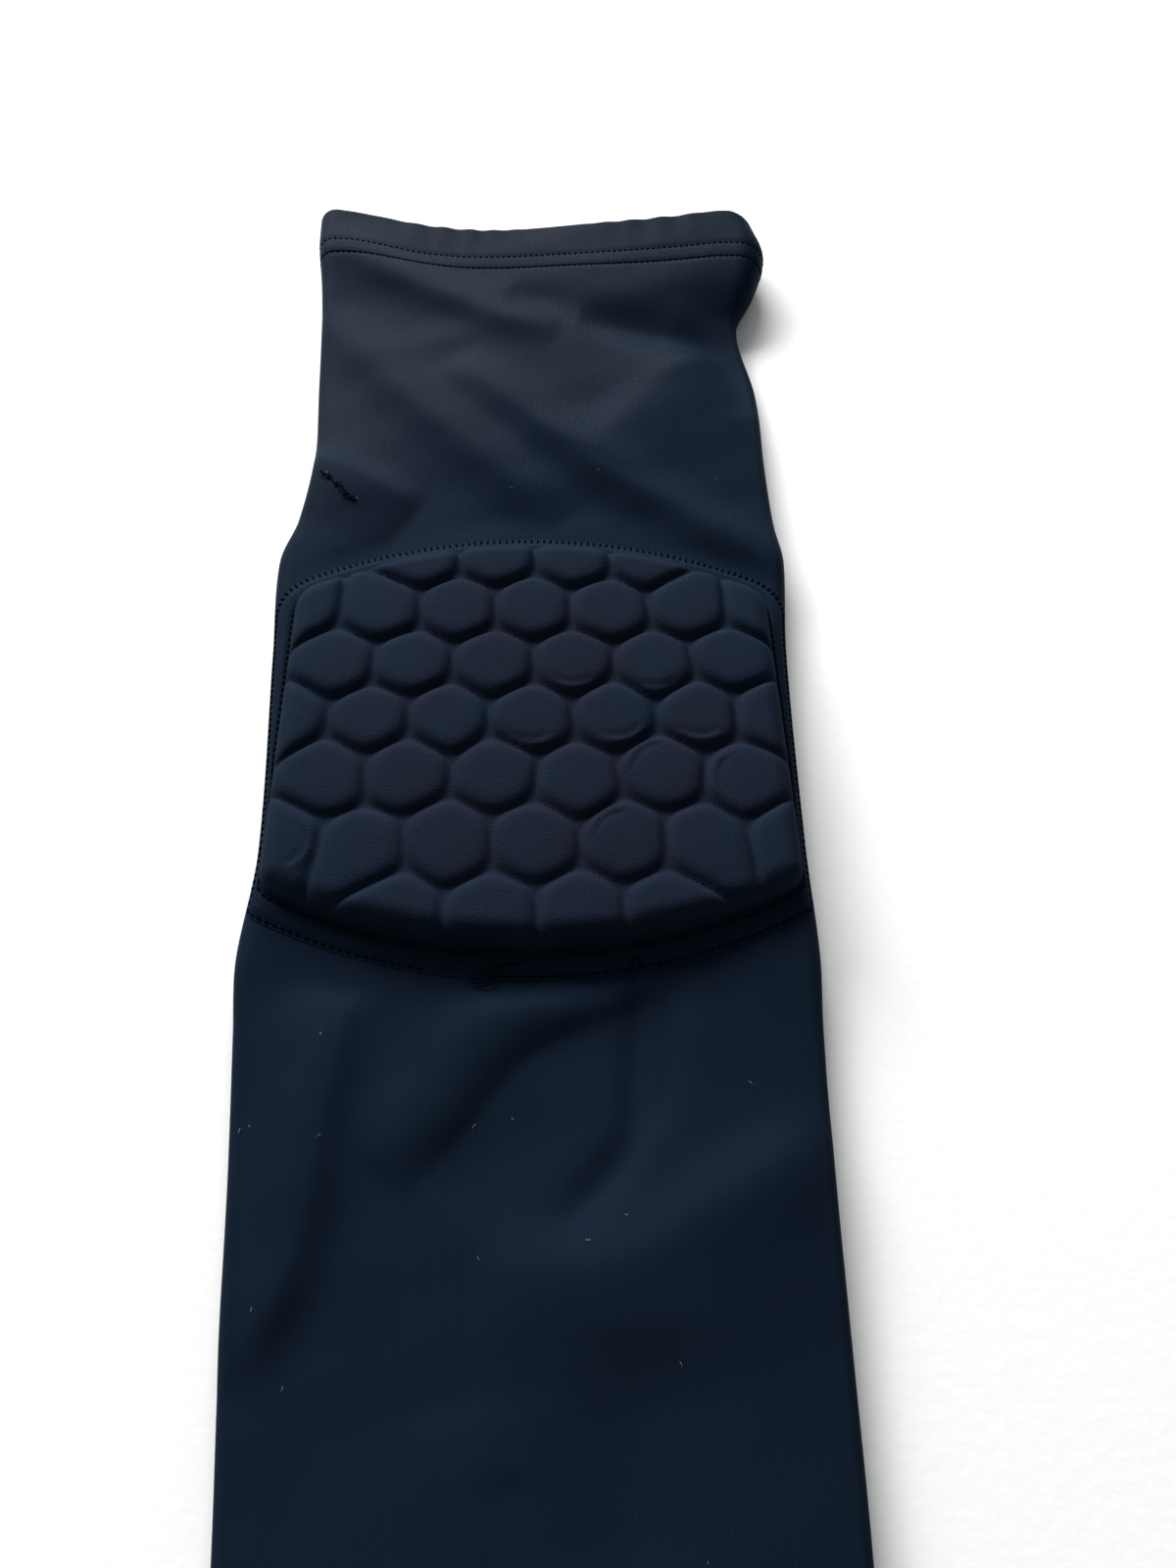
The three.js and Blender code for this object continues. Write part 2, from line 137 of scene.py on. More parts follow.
@dataclass(frozen=True)
class Fold:
    """A ridge of the upper layer along a line, or a dent if its height is negative."""

    along: tuple[Place, ...]
    width: float
    height: float
    lee: float = 1.0  # width on the forearm side, as a share of the other
    crisp: float = 0.0  # that side's shape, from a soft bell to an arch that ends in a crease

    def line(self) -> Array:
        """The line with its corners cut twice, so that it bends softly."""
        line = np.array(self.along, float)
        for _ in range(2):
            cut = np.stack([0.75 * line[:-1] + 0.25 * line[1:], 0.25 * line[:-1] + 0.75 * line[1:]], 1)
            line = np.concatenate([line[:1], cut.reshape(-1, 2), line[-1:]])
        return line


SEAT = 8.4  # height of the upper layer under the pad
SECTIONS = (
    Section(200, 69, 72.5, 9.6, 12.6, 18, 1.8),
    Section(187, 68.4, 75, 9.5, 12, 17, 1.9),
    Section(170, 66.2, 70.5, 9.6, 10, 13.4, 2.4),
    Section(154, 64.7, 64, 9.6, 7.6, 6, 3),
    Section(125, 63, 67, 9.6, 6.4, 5.6, 3.4),
    Section(92, 61, 66.2, 9.4, 8.4, 6.8, 4),
    Section(70, 63.2, 66.3, 8.4, 8.2, 7.2, 4),
    Section(56, 66.6, 67.2, SEAT, SEAT, SEAT, 4),
    Section(26, 65, 64.4, SEAT, SEAT, SEAT, 4),
    Section(-30, 61.9, 62.2, SEAT, SEAT, SEAT, 4),
    Section(-56, 63.5, 62, SEAT, SEAT, SEAT, 4),
    Section(-72, 62, 60.6, 8.9, 7.2, 7.2, 4),
    Section(-100, 59.3, 58.9, 9.4, 6.4, 6.4, 4),
    Section(-131, 56.8, 57.8, 9.4, 6.4, 6.4, 4),
    Section(-165, 53.5, 56.4, 9.3, 6.8, 6.8, 4),
    Section(-216, 49.5, 53, 9.4, 7.4, 7.4, 4),
)
UPPER_ARM_EDGE = SECTIONS[0].y
FOREARM_EDGE = SECTIONS[-1].y
HEM_DEPTH = 21.5

FOLDS = (
    # From the hem to the middle, with the hollow behind it
    Fold(((-68, 183), (-50, 176), (-33, 167), (-12, 154), (8, 145)), 10, 2.0, 0.75),
    Fold(((-8, 166), (8, 158), (22, 155), (44, 151)), 8, -1.2),
    # Long ones that run down to the pad
    Fold(((-72, 162), (-52, 138), (-36, 115), (-22, 100), (-9, 85), (8, 68)), 9, 2.4, 0.85),
    Fold(((-24, 133), (-7, 115), (7, 99), (23, 83), (40, 71), (55, 60), (72, 50)), 9, 2.9, 0.75),
    # Below the tuck of the right side
    Fold(((56, 138), (44, 129), (33, 116), (23, 100), (17, 90)), 8, 1.7, 2.2),
    Fold(((14, 153), (34, 148), (52, 145), (60, 133), (66, 112)), 7.5, -2.5),
    # Over the snag, down to the pad's corner
    Fold(((-90, 101), (-58, 89), (-48, 83), (-40, 77), (-31, 72)), 6, 2.9, 2.9, 0.25),
    # Steps below the pad
    Fold(((-39, -64), (-42, -84), (-43, -100), (-44, -112), (-47, -122), (-56, -136)), 13, 3.1, 0.42),
    Fold(((24, -57), (10, -64), (-3, -69), (-12, -76), (-18, -85), (-26, -94), (-32, -100)),
         9, 2.1, 0.95, 0.9),
    Fold(((30, -72), (16, -77), (4, -82), (-3, -89), (-9, -97), (-18, -107)), 12, -1.2),
    # Ridge across the forearm, with the creases that run down to it
    Fold(((-12, -120), (4, -120), (14, -120), (25, -115), (38, -107), (48, -101), (62, -96), (78, -91)),
         8, 2.5, 2.2),
    Fold(((22, -56), (21, -75), (20, -88), (19, -96), (13, -103), (3, -112)), 3.6, -1.5),
    Fold(((28, -58), (27, -80), (24, -94)), 3, -0.8),
    # Slack towards the forearm's end
    Fold(((-16, -140), (-10, -180)), 16, 1.0),
    Fold(((17, -128), (18, -150), (8, -168)), 10, -0.9),
    Fold(((-6, -150), (-4, -166)), 5, -0.5),
)


@dataclass(frozen=True)
class Spans:
    """How many faces go round the tube: over the top, along the floor and to a side fold's quarter turn."""

    top: int = 104
    bottom: int = 30
    bend: int = 9


@dataclass(frozen=True)
class LyingTube:
    """The knitted tube's outside as it lies flattened, as functions of plan places."""

    sections: tuple[Section, ...] = SECTIONS
    folds: tuple[Fold, ...] = FOLDS
    bend_ratio: float = 0.48  # width of a side fold's bend over its height
    bend_most: float = 8.5  # its greatest width
    fade: Place = (5.8, 14.0)  # folds begin past the first distance from the pad's outline
    edge_power: float = 14.0  # how late the folds die out towards the sides
    taper_power: float = 4.0  # how late a fold dies out towards its ends
    ripple: float = 0.05  # height of the slight unevenness everywhere
    ripple_lengths: tuple[float, ...] = (61.0, 43.0, 31.0, 23.0, 17.0)
    pucker: float = 0.24  # height of the short waves along the upper-arm hem
    pucker_length: float = 8.2
    pucker_drift: float = 2.2  # how far they come early or late, in radians
    pucker_drift_reach: float = 15.0
    pucker_from: float = 184.0
    pucker_middle: float = -25.0  # where they are strongest on the left
    pucker_span: float = 66.0  # from there to where they are strongest on the right
    sag: float = 4.0  # how far the upper-arm mouth's edge lies back
    sag_from: float = 130.0  # where that begins
    sag_middle: float = -19.0
    sag_reach: float = 26.0
    corner: float = 2.4  # how far its left corner lies ahead
    corner_span: Place = (34.0, 66.0)
    rounding: float = 4.5  # how far its right corner is rounded off
    rounding_span: Place = (56.0, 78.0)

    def column(self, name: str, y: Array) -> Array:
        """One column of the section table, on a smooth curve through its rows.

        Args:
            name: The column.
            y: Places along the sleeve.

        Returns:
            The column's values there.
        """
        rows = sorted(self.sections, key=lambda row: row.y)
        places = np.array([row.y for row in rows], float)
        values = np.array([getattr(row, name) for row in rows], float)
        before = np.maximum(np.arange(len(rows)) - 1, 0)
        after = np.minimum(np.arange(len(rows)) + 1, len(rows) - 1)
        slopes = (values[after] - values[before]) / (places[after] - places[before])
        i = np.clip(np.searchsorted(places, y, side="right") - 1, 0, len(rows) - 2)
        span = places[i + 1] - places[i]
        t = np.clip((y - places[i]) / span, 0.0, 1.0)
        bent = np.where(values[i] == values[i + 1], 0.0, span)
        between = values[i] + (values[i + 1] - values[i]) * (3 * t**2 - 2 * t**3)
        return between + bent * ((t**3 - 2 * t**2 + t) * slopes[i] + (t**3 - t**2) * slopes[i + 1])

    def section(self, y: Array) -> Section:
        """The sections at places along the sleeve, each size as an array."""
        names = ("left", "right", "crown", "left_fold", "right_fold", "fullness")
        return Section(y, *(self.column(name, y) for name in names))

    def clear_of_pad(self, x: Array, y: Array) -> Array:
        """A share that rises from 0 at the pad to 1 where the cloth is free to fold."""
        return smooth(*self.fade, -PadOutline().inside(x, y))

    def fold_height(self, x: Array, y: Array) -> Array:
        """Height that the soft folds add to the upper layer.

        Args:
            x: Plan places across.
            y: Plan places along.

        Returns:
            The heights.
        """
        total = np.zeros(np.broadcast(x, y).shape)
        for fold in self.folds:
            line = fold.line()
            steps = np.hypot(*np.diff(line, axis=0).T)
            reached = np.concatenate([[0.0], np.cumsum(steps)])
            nearest = np.full(total.shape, np.inf)
            height = np.zeros(total.shape)
            for i, length in enumerate(steps):
                dx, dy = (line[i + 1] - line[i]) / length
                run = np.clip((x - line[i, 0]) * dx + (y - line[i, 1]) * dy, 0.0, length)
                off_x = x - line[i, 0] - run * dx
                off_y = y - line[i, 1] - run * dy
                away = np.hypot(off_x, off_y)
                facing = 1.0 if dx > 0 else -1.0
                forearm_side = facing * (off_y * dx - off_x * dy) < 0
                width = np.where(forearm_side, fold.width * fold.lee, fold.width)
                share = (reached[i] + run) / reached[-1]
                taper = 1.0 - np.abs(2.0 * share - 1.0) ** self.taper_power
                arch = np.maximum(0.0, 1.0 - (away / width) ** 2)
                crisp = np.where(forearm_side, fold.crisp, 0.0)
                shape = crisp * arch + (1.0 - crisp) * bell(away, width)
                height = np.where(away < nearest, taper * shape, height)
                nearest = np.minimum(nearest, away)
            total += fold.height * height
        return total * self.clear_of_pad(x, y)

    def unevenness(self, x: Array, y: Array) -> Array:
        """Slight waves that keep the cloth from lying quite true.

        Args:
            x: Plan places across.
            y: Plan places along.

        Returns:
            The heights.
        """
        draw = np.random.default_rng(SEED)
        total = np.zeros(np.broadcast(x, y).shape)
        for length in self.ripple_lengths:
            turn, phase = draw.uniform(0.0, math.tau, 2)
            total += np.sin(math.tau / length * (x * math.cos(turn) + y * math.sin(turn)) + phase)
        return self.ripple * total * self.clear_of_pad(x, y)

    def puckers(self, x: Array, y: Array) -> Array:
        """Short uneven waves that the stitches leave across the upper-arm hem.

        Args:
            x: Plan places across.
            y: Plan places along.

        Returns:
            The heights.
        """
        phase = math.tau * x / self.pucker_length + self.pucker_drift * np.sin(x / self.pucker_drift_reach)
        strength = 0.5 + 0.5 * np.cos(math.tau * (x - self.pucker_middle) / self.pucker_span)
        return self.pucker * strength * np.sin(phase) * smooth(self.pucker_from, UPPER_ARM_EDGE, y)

    def plateau(self, x: Array, y: Array) -> Array:
        """Height of the upper layer's outside before it bends into a side fold.

        Args:
            x: Plan places across.
            y: Plan places along.

        Returns:
            The heights.
        """
        row = self.section(y)
        half = np.where(x < 0, row.left, row.right)
        fold = np.where(x < 0, row.left_fold, row.right_fold)
        share = np.minimum(np.abs(x) / half, 1.0)
        base = fold + (row.crown - fold) * (1.0 - share**row.fullness)
        relief = self.fold_height(x, y) + self.unevenness(x, y) + self.puckers(x, y)
        return base + relief * (1.0 - share**self.edge_power)

    def bend(self, side: int, y: Array) -> tuple[Array, Array, Array]:
        """A side fold's bend: the place where it starts, its width and its height.

        Args:
            side: -1 for the left fold, 1 for the right one.
            y: Places along the sleeve.

        Returns:
            Start, width and height at each place.
        """
        row = self.section(y)
        half, fold = (row.left, row.left_fold) if side < 0 else (row.right, row.right_fold)
        width = np.minimum(self.bend_ratio * fold, self.bend_most)
        start = half - width
        return start, width, self.plateau(side * start, y)

    def top(self, x: Array, y: Array) -> Array:
        """Height of the tube's upper outside, its side folds included.

        Args:
            x: Plan places across.
            y: Plan places along.

        Returns:
            The heights.
        """
        left = self.bend(-1, y)
        right = self.bend(1, y)
        start, width, height = (np.where(x < 0, a, b) for a, b in zip(left, right))
        turn = (np.abs(x) - start) / width
        bent = height / 2 * (1.0 + np.sqrt(np.maximum(0.0, 1.0 - turn**2)))
        return np.where(turn <= 0, self.plateau(x, y), bent)

    def drawn(self, x: Array, y: Array) -> Array:
        """Places along the sleeve, moved as the upper-arm mouth's edge sags and its corners lie.

        Args:
            x: Plan places across.
            y: Plan places along.

        Returns:
            The places after that.
        """
        back = self.sag * bell(x - self.sag_middle, self.sag_reach)
        ahead = self.corner * smooth(*self.corner_span, -x)
        rounded = self.rounding * smooth(*self.rounding_span, x)
        return y + (ahead - back - rounded) * smooth(self.sag_from, UPPER_ARM_EDGE, y)

    def outside(self, y: Array, spans: Spans) -> Array:
        """The tube's outside at places along the sleeve.

        Args:
            y: The places.
            spans: How finely the tube is divided.

        Returns:
            Points as an array of places by points round by (x, z), along the floor and back over the top.
        """
        column = y[:, None]
        left_start, left_width, left_height = (v[:, None] for v in self.bend(-1, y))
        right_start, right_width, right_height = (v[:, None] for v in self.bend(1, y))
        share = np.linspace(0.0, 1.0, spans.bottom + 1)[None]
        floor_x = -left_start + (right_start + left_start) * share
        share = np.linspace(0.0, 1.0, spans.top + 1)[None]
        top_x = right_start - (right_start + left_start) * share
        turn = np.linspace(-np.pi / 2, np.pi / 2, 2 * spans.bend + 1)[None, 1:-1]
        parts = [
            (floor_x, np.zeros(floor_x.shape)),
            (right_start + right_width * np.cos(turn), right_height / 2 * (1.0 + np.sin(turn))),
            (top_x, self.plateau(top_x, np.broadcast_to(column, top_x.shape))),
            (-left_start - left_width * np.cos(turn), left_height / 2 * (1.0 - np.sin(turn))),
        ]
        return np.concatenate([np.stack(part, -1) for part in parts], axis=1)

    def inward(self, loops: Array) -> Array:
        """Directions square to the tube's outline that point into it.

        Args:
            loops: Rows of (x, z) points round the tube.

        Returns:
            A direction for each point.
        """
        along = np.roll(loops, -1, axis=1) - np.roll(loops, 1, axis=1)
        along /= np.linalg.norm(along, axis=2, keepdims=True)
        return np.stack([-along[..., 1], along[..., 0]], -1)

    def wall(self, profile: Array, spans: Spans) -> tuple[Array, Array]:
        """A closed wall that follows the tube.

        Args:
            profile: Rows of (place along the sleeve, depth under the outside), round the wall's own section.
            spans: How finely the tube is divided.

        Returns:
            Points as rows by points round by (x, y, z), and their places on the cloth.
        """
        loops = self.outside(profile[:, 0], spans)
        moved = loops + self.inward(loops) * profile[:, 1, None, None]
        along = self.drawn(moved[..., 0], profile[:, 0, None])
        points = np.stack([moved[..., 0], along, moved[..., 1]], -1)
        ring = self.outside(np.zeros(1), spans)[0]
        steps = np.linalg.norm(np.roll(ring, -1, axis=0) - ring, axis=1)
        around = np.concatenate([[0.0], np.cumsum(steps)])
        around = np.broadcast_to(around[None], (len(loops), len(around)))
        length = np.broadcast_to(profile[:, 0, None], around.shape)
        return points, np.stack([around, length], -1)


# Meshes


def pad_middle() -> Vector:
    """The frame's place of the pad's middle, on the floor."""
    low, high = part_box("elbow_pad")
    return Vector(((low.x + high.x) / 2, high.y - PadOutline().top * MM, 0.0))


def linked(name: str, data: bpy.types.ID) -> bpy.types.Object:
    """A new object in the scene.

    Args:
        name: Its name.
        data: Its mesh, camera or lamp.

    Returns:
        The object.
    """
    made = bpy.data.objects.new(name, data)
    bpy.context.scene.collection.objects.link(made)
    return made


def plan_mesh(name: str, points: Array, faces: list, edges: list | None = None) -> Mesh:
    """A mesh of plan points, put into the frame.

    Args:
        name: Its name.
        points: Points in plan millimetres.
        faces: Point numbers of each face.
        edges: Point numbers of each edge that has no face.

    Returns:
        The mesh.
    """
    mesh = bpy.data.meshes.new(name)
    mesh.from_pydata((points * MM + np.array(pad_middle())).tolist(), edges or [], faces)
    return mesh


def grid_faces(rows: int, columns: int, wrap_rows: bool, wrap_columns: bool) -> tuple[Array, Array]:
    """Quads of a grid of points that are numbered row by row.

    Args:
        rows: Rows of points.
        columns: Points in a row.
        wrap_rows: Whether the last row joins the first.
        wrap_columns: Whether a row's last point joins its first.

    Returns:
        The quads' point numbers, and the (row, column) of each corner before wrapping.
    """
    r, c = np.meshgrid(
        np.arange(rows if wrap_rows else rows - 1),
        np.arange(columns if wrap_columns else columns - 1),
        indexing="ij",
    )
    at_row, at_column = np.stack([r, r + 1, r + 1, r], -1), np.stack([c, c, c + 1, c + 1], -1)
    corners = np.stack([at_row, at_column], -1).reshape(-1, 4, 2)
    return corners[..., 0] % rows * columns + corners[..., 1] % columns, corners


def make_piece(name: str, points: Array, faces: list, cloth: Array | None = None) -> Piece:
    """A smooth piece of plan points and faces.

    Args:
        name: The piece's name.
        points: Points in plan millimetres.
        faces: Point numbers of each face.
        cloth: Each face corner's place on the cloth, in millimetres.

    Returns:
        The piece's object, with its place in its mesh.
    """
    mesh = plan_mesh(name, points, faces)
    if cloth is not None:
        layer = mesh.uv_layers.new(name=CLOTH_MAP)
        layer.data.foreach_set("uv", np.ascontiguousarray(cloth, np.float32).ravel())
    mesh.shade_smooth()
    return linked(name, mesh)


def make_shell(name: str, points: Array, quads: Array, cloth: Array) -> Piece:
    """A closed piece of plan points and quads, turned outwards.

    Args:
        name: The piece's name.
        points: Points in plan millimetres.
        quads: Point numbers of each quad.
        cloth: Each quad corner's place on the cloth, in millimetres.

    Returns:
        The piece's object.
    """
    a, b, c, d = (points[quads[:, k]] for k in range(4))
    if np.sum(a * (np.cross(b, c) + np.cross(c, d))) < 0:
        quads, cloth = quads[:, ::-1], cloth[:, ::-1]
    return make_piece(name, points, quads.tolist(), cloth)


def make_wall(name: str, tube: LyingTube, profile: Array, spans: Spans) -> Piece:
    """A piece of wall that follows the tube all round.

    Args:
        name: The piece's name.
        tube: The tube that it follows.
        profile: Rows of (place along the sleeve, depth under the outside), round the wall's own section.
        spans: How finely the tube is divided.

    Returns:
        The piece's object.
    """
    points, cloth = tube.wall(profile, spans)
    rows, columns = points.shape[:2]
    quads, corners = grid_faces(rows, columns, True, True)
    return make_shell(name, points.reshape(-1, 3), quads, cloth[corners[..., 0] % rows, corners[..., 1]])


ASKEW = (0.31, 0.17, 0.93)  # a direction that no thread follows
TIP = 0.35  # a thread's end, as a share of its radius


def make_threads(name: str, lines: list[Array], radius: float, sides: int = 6) -> Piece:
    """A piece of round threads along lines.

    Args:
        name: The piece's name.
        lines: The threads' centre lines, in plan millimetres.
        radius: The threads' radius.
        sides: Faces round a thread.

    Returns:
        The piece's object.
    """
    points: list[Array] = []
    faces: list[list[int]] = []
    used = 0
    turns = np.linspace(0.0, math.tau, sides, endpoint=False)
    for line in lines:
        ahead = np.gradient(line, axis=0)
        ahead /= np.linalg.norm(ahead, axis=1, keepdims=True)
        across = np.cross(ahead, ASKEW)
        across /= np.linalg.norm(across, axis=1, keepdims=True)
        up = np.cross(across, ahead)
        thick = radius * np.concatenate([[TIP], np.ones(len(line) - 2), [TIP]])[:, None, None]
        ring = across[:, None] * np.cos(turns)[None, :, None] + up[:, None] * np.sin(turns)[None, :, None]
        tube = (line[:, None] + thick * ring).reshape(-1, 3)
        quads, _ = grid_faces(len(line), sides, False, True)
        first = np.arange(sides)
        last = first + (len(line) - 1) * sides
        near = np.stack([np.full(sides, len(tube)), first, np.roll(first, -1)], -1)
        far = np.stack([np.full(sides, len(tube) + 1), np.roll(last, -1), last], -1)
        for part in (quads[:, ::-1], near, far):
            faces.extend((part + used).tolist())
        points.append(np.concatenate([tube, line[:1], line[-1:]]))
        used += len(tube) + 2
    return make_piece(name, np.concatenate(points), faces)


def evaluated(name: str, mesh: Mesh, tree: Tree, values: dict[str, object]) -> Mesh:
    """The plain mesh that a Geometry Nodes tree makes of a mesh.

    Args:
        name: Name of the object that carries the tree meanwhile.
        mesh: What the tree starts from.
        tree: The tree.
        values: Its inputs by name.

    Returns:
        The new mesh.
    """
    carrier = linked(name, mesh)
    modifier = carrier.modifiers.new("nodes", "NODES")
    modifier.node_group = tree
    for item in tree.interface.items_tree:
        if item.in_out == "INPUT" and item.name in values:
            modifier[item.identifier] = values[item.name]
    bpy.context.view_layer.update()
    made = bpy.data.meshes.new_from_object(carrier.evaluated_get(bpy.context.evaluated_depsgraph_get()))
    carrier.modifiers.remove(modifier)
    bpy.data.objects.remove(carrier)
    return made


def joined(name: str, meshes: list[Mesh]) -> Piece:
    """One smooth piece of several meshes that are in the frame already.

    Args:
        name: The piece's name.
        meshes: The meshes.

    Returns:
        The piece's object.
    """
    points: list[Array] = []
    faces: list[list[int]] = []
    used = 0
    for mesh in meshes:
        flat = np.zeros(len(mesh.vertices) * 3)
        mesh.vertices.foreach_get("co", flat)
        points.append(flat.reshape(-1, 3))
        faces.extend([used + v for v in polygon.vertices] for polygon in mesh.polygons)
        used += len(mesh.vertices)
    whole = bpy.data.meshes.new(name)
    whole.from_pydata(np.concatenate(points).tolist(), [], faces)
    whole.shade_smooth()
    return linked(name, whole)


def settle(piece: Piece, material: Material, slot: Slot | None, *nodes: str) -> None:
    """Gives a piece its finish and its body, and hides the nodes that it stands for.

    Args:
        piece: The piece.
        material: Its finish.
        slot: The record's slot, or none for what the record doesn't name; not used.
        nodes: Names of the CAD nodes that it replaces.
    """
    piece.data.materials.clear()
    piece.data.materials.append(material)
    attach(piece, BODY)
    if nodes:
        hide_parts(*nodes)
    LOG.info("%s: %d faces", piece.name, len(piece.data.polygons))


# Node trees


@dataclass
class Nodes:
    """Adds and links the nodes of one tree in short calls."""

    tree: Tree

    def feed(self, socket: Socket, value: object) -> None:
        """Links another socket to an input, or sets the input's own value.

        Args:
            socket: The input.
            value: The other socket, or the value.
        """
        if isinstance(value, Socket):
            self.tree.links.new(value, socket)
        else:
            socket.default_value = value

    def add(self, kind: str, inputs: dict | None = None, **settings: object) -> bpy.types.Node:
        """A new node.

        Args:
            kind: Its type.
            inputs: Values, or other nodes' sockets, by the input's name or number.
            settings: Its own settings.

        Returns:
            The node.
        """
        node = self.tree.nodes.new(kind)
        for key, value in settings.items():
            setattr(node, key, value)
        for key, value in (inputs or {}).items():
            self.feed(node.inputs[key], value)
        return node

    def math(self, operation: str, *values: object) -> Socket:
        """The result of a sum on sockets or numbers."""
        return self.add("ShaderNodeMath", dict(enumerate(values)), operation=operation).outputs[0]

    def sockets(self, way: str, **kinds: str) -> None:
        """Adds named sockets to the tree's own interface.

        Args:
            way: INPUT or OUTPUT.
            kinds: The sockets' types by name, with underscores for spaces.
        """
        for name, kind in kinds.items():
            label = name.replace("_", " ")
            self.tree.interface.new_socket(label, in_out=way, socket_type=f"NodeSocket{kind}")

    def surface(self, inputs: dict) -> None:
        """Ends a material's tree in a shader with these inputs."""
        shader = self.add("ShaderNodeBsdfPrincipled", inputs)
        self.add("ShaderNodeOutputMaterial", {"Surface": shader.outputs[0]})

    def random(self, low: object, high: object, seed: Socket) -> Socket:
        """A random number at each point, between two numbers or sockets.

        Args:
            low: The least.
            high: The greatest.
            seed: The seed.

        Returns:
            The number's socket.
        """
        node = self.add("FunctionNodeRandomValue", {"Seed": seed}, data_type="FLOAT")
        numbers = [socket for socket in node.inputs if socket.type == "VALUE"]
        for socket, value in zip(numbers, (low, high)):
            self.feed(socket, value)
        return next(socket for socket in node.outputs if socket.type == "VALUE")

    def thread(self, ends: dict[str, tuple], steps: int, sides: int, thickness: Socket) -> Socket:
        """A short bent thread.

        Args:
            ends: Places of its Start, Middle and End, each of three numbers or sockets.
            steps: Stretches along it.
            sides: Faces round it.
            thickness: Its thickness.

        Returns:
            Its mesh's socket.
        """
        corners = {}
        for name, place in ends.items():
            corners[name] = self.add("ShaderNodeCombineXYZ", dict(enumerate(place))).outputs[0]
        line = self.add("GeometryNodeCurveQuadraticBezier", {"Resolution": steps, **corners}).outputs[0]
        rounded = {"Resolution": sides, "Radius": self.math("MULTIPLY", thickness, 0.5)}
        ring = self.add("GeometryNodeCurvePrimitiveCircle", rounded).outputs[0]
        swept = {"Curve": line, "Profile Curve": ring, "Fill Caps": True}
        return self.add("GeometryNodeCurveToMesh", swept).outputs[0]

    def strewn(self, placed: dict[str, Socket], lie: Socket, angle: Socket, material: Socket) -> None:
        """Ends a tree that sets a shape down on points, as plain meshes with a finish.

        Args:
            placed: The points, the shape and its scale, by the names of the inputs.
            lie: How the shape lies at each point.
            angle: How far it is then turned about its own upright axis.
            material: Its finish.
        """
        about = self.add("FunctionNodeAxisAngleToRotation", {"Axis": (0.0, 0.0, 1.0), "Angle": angle})
        turns = {"Rotation": lie, "Rotate By": about.outputs[0]}
        turned = self.add("FunctionNodeRotateRotation", turns, rotation_space="LOCAL").outputs[0]
        rows = self.add("GeometryNodeInstanceOnPoints", {**placed, "Rotation": turned}).outputs[0]
        real = self.add("GeometryNodeRealizeInstances", {0: rows}).outputs[0]
        done = self.add("GeometryNodeSetMaterial", {"Geometry": real, "Material": material}).outputs[0]
        self.add("NodeGroupOutput", {0: done})


def knit_group(slant: float = 1.3, rib_height: float = 0.7, leg_height: float = 0.6) -> Tree:
    """The loops of a fine knit: columns of small V shapes, as a height that changes over the cloth.

    Args:
        slant: How steeply a loop's legs run.
        rib_height: Height of the columns.
        leg_height: Height of the legs.

    Returns:
        The group.
    """
    nodes = Nodes(bpy.data.node_groups.new("knit_loops", "ShaderNodeTree"))
    nodes.sockets("INPUT", Cloth="Vector", Wale="Float", Course="Float")
    nodes.sockets("OUTPUT", Height="Float")
    given = nodes.add("NodeGroupInput").outputs
    place = nodes.add("ShaderNodeSeparateXYZ", {0: given["Cloth"]}).outputs
    column = nodes.math("FRACT", nodes.math("DIVIDE", place[0], given["Wale"]))
    from_middle = nodes.math("ABSOLUTE", nodes.math("SUBTRACT", column, 0.5))
    course = nodes.math("DIVIDE", place[1], given["Course"])
    slanted = nodes.math("ADD", course, nodes.math("MULTIPLY", from_middle, slant))
    leg = nodes.math("ABSOLUTE", nodes.math("SUBTRACT", nodes.math("FRACT", slanted), 0.5))
    rib = nodes.math("SINE", nodes.math("MULTIPLY", from_middle, math.pi))
    rib, leg = nodes.math("MULTIPLY", rib, rib_height), nodes.math("MULTIPLY", leg, leg_height)
    nodes.add("NodeGroupOutput", {"Height": nodes.math("ADD", rib, leg)})
    return nodes.tree


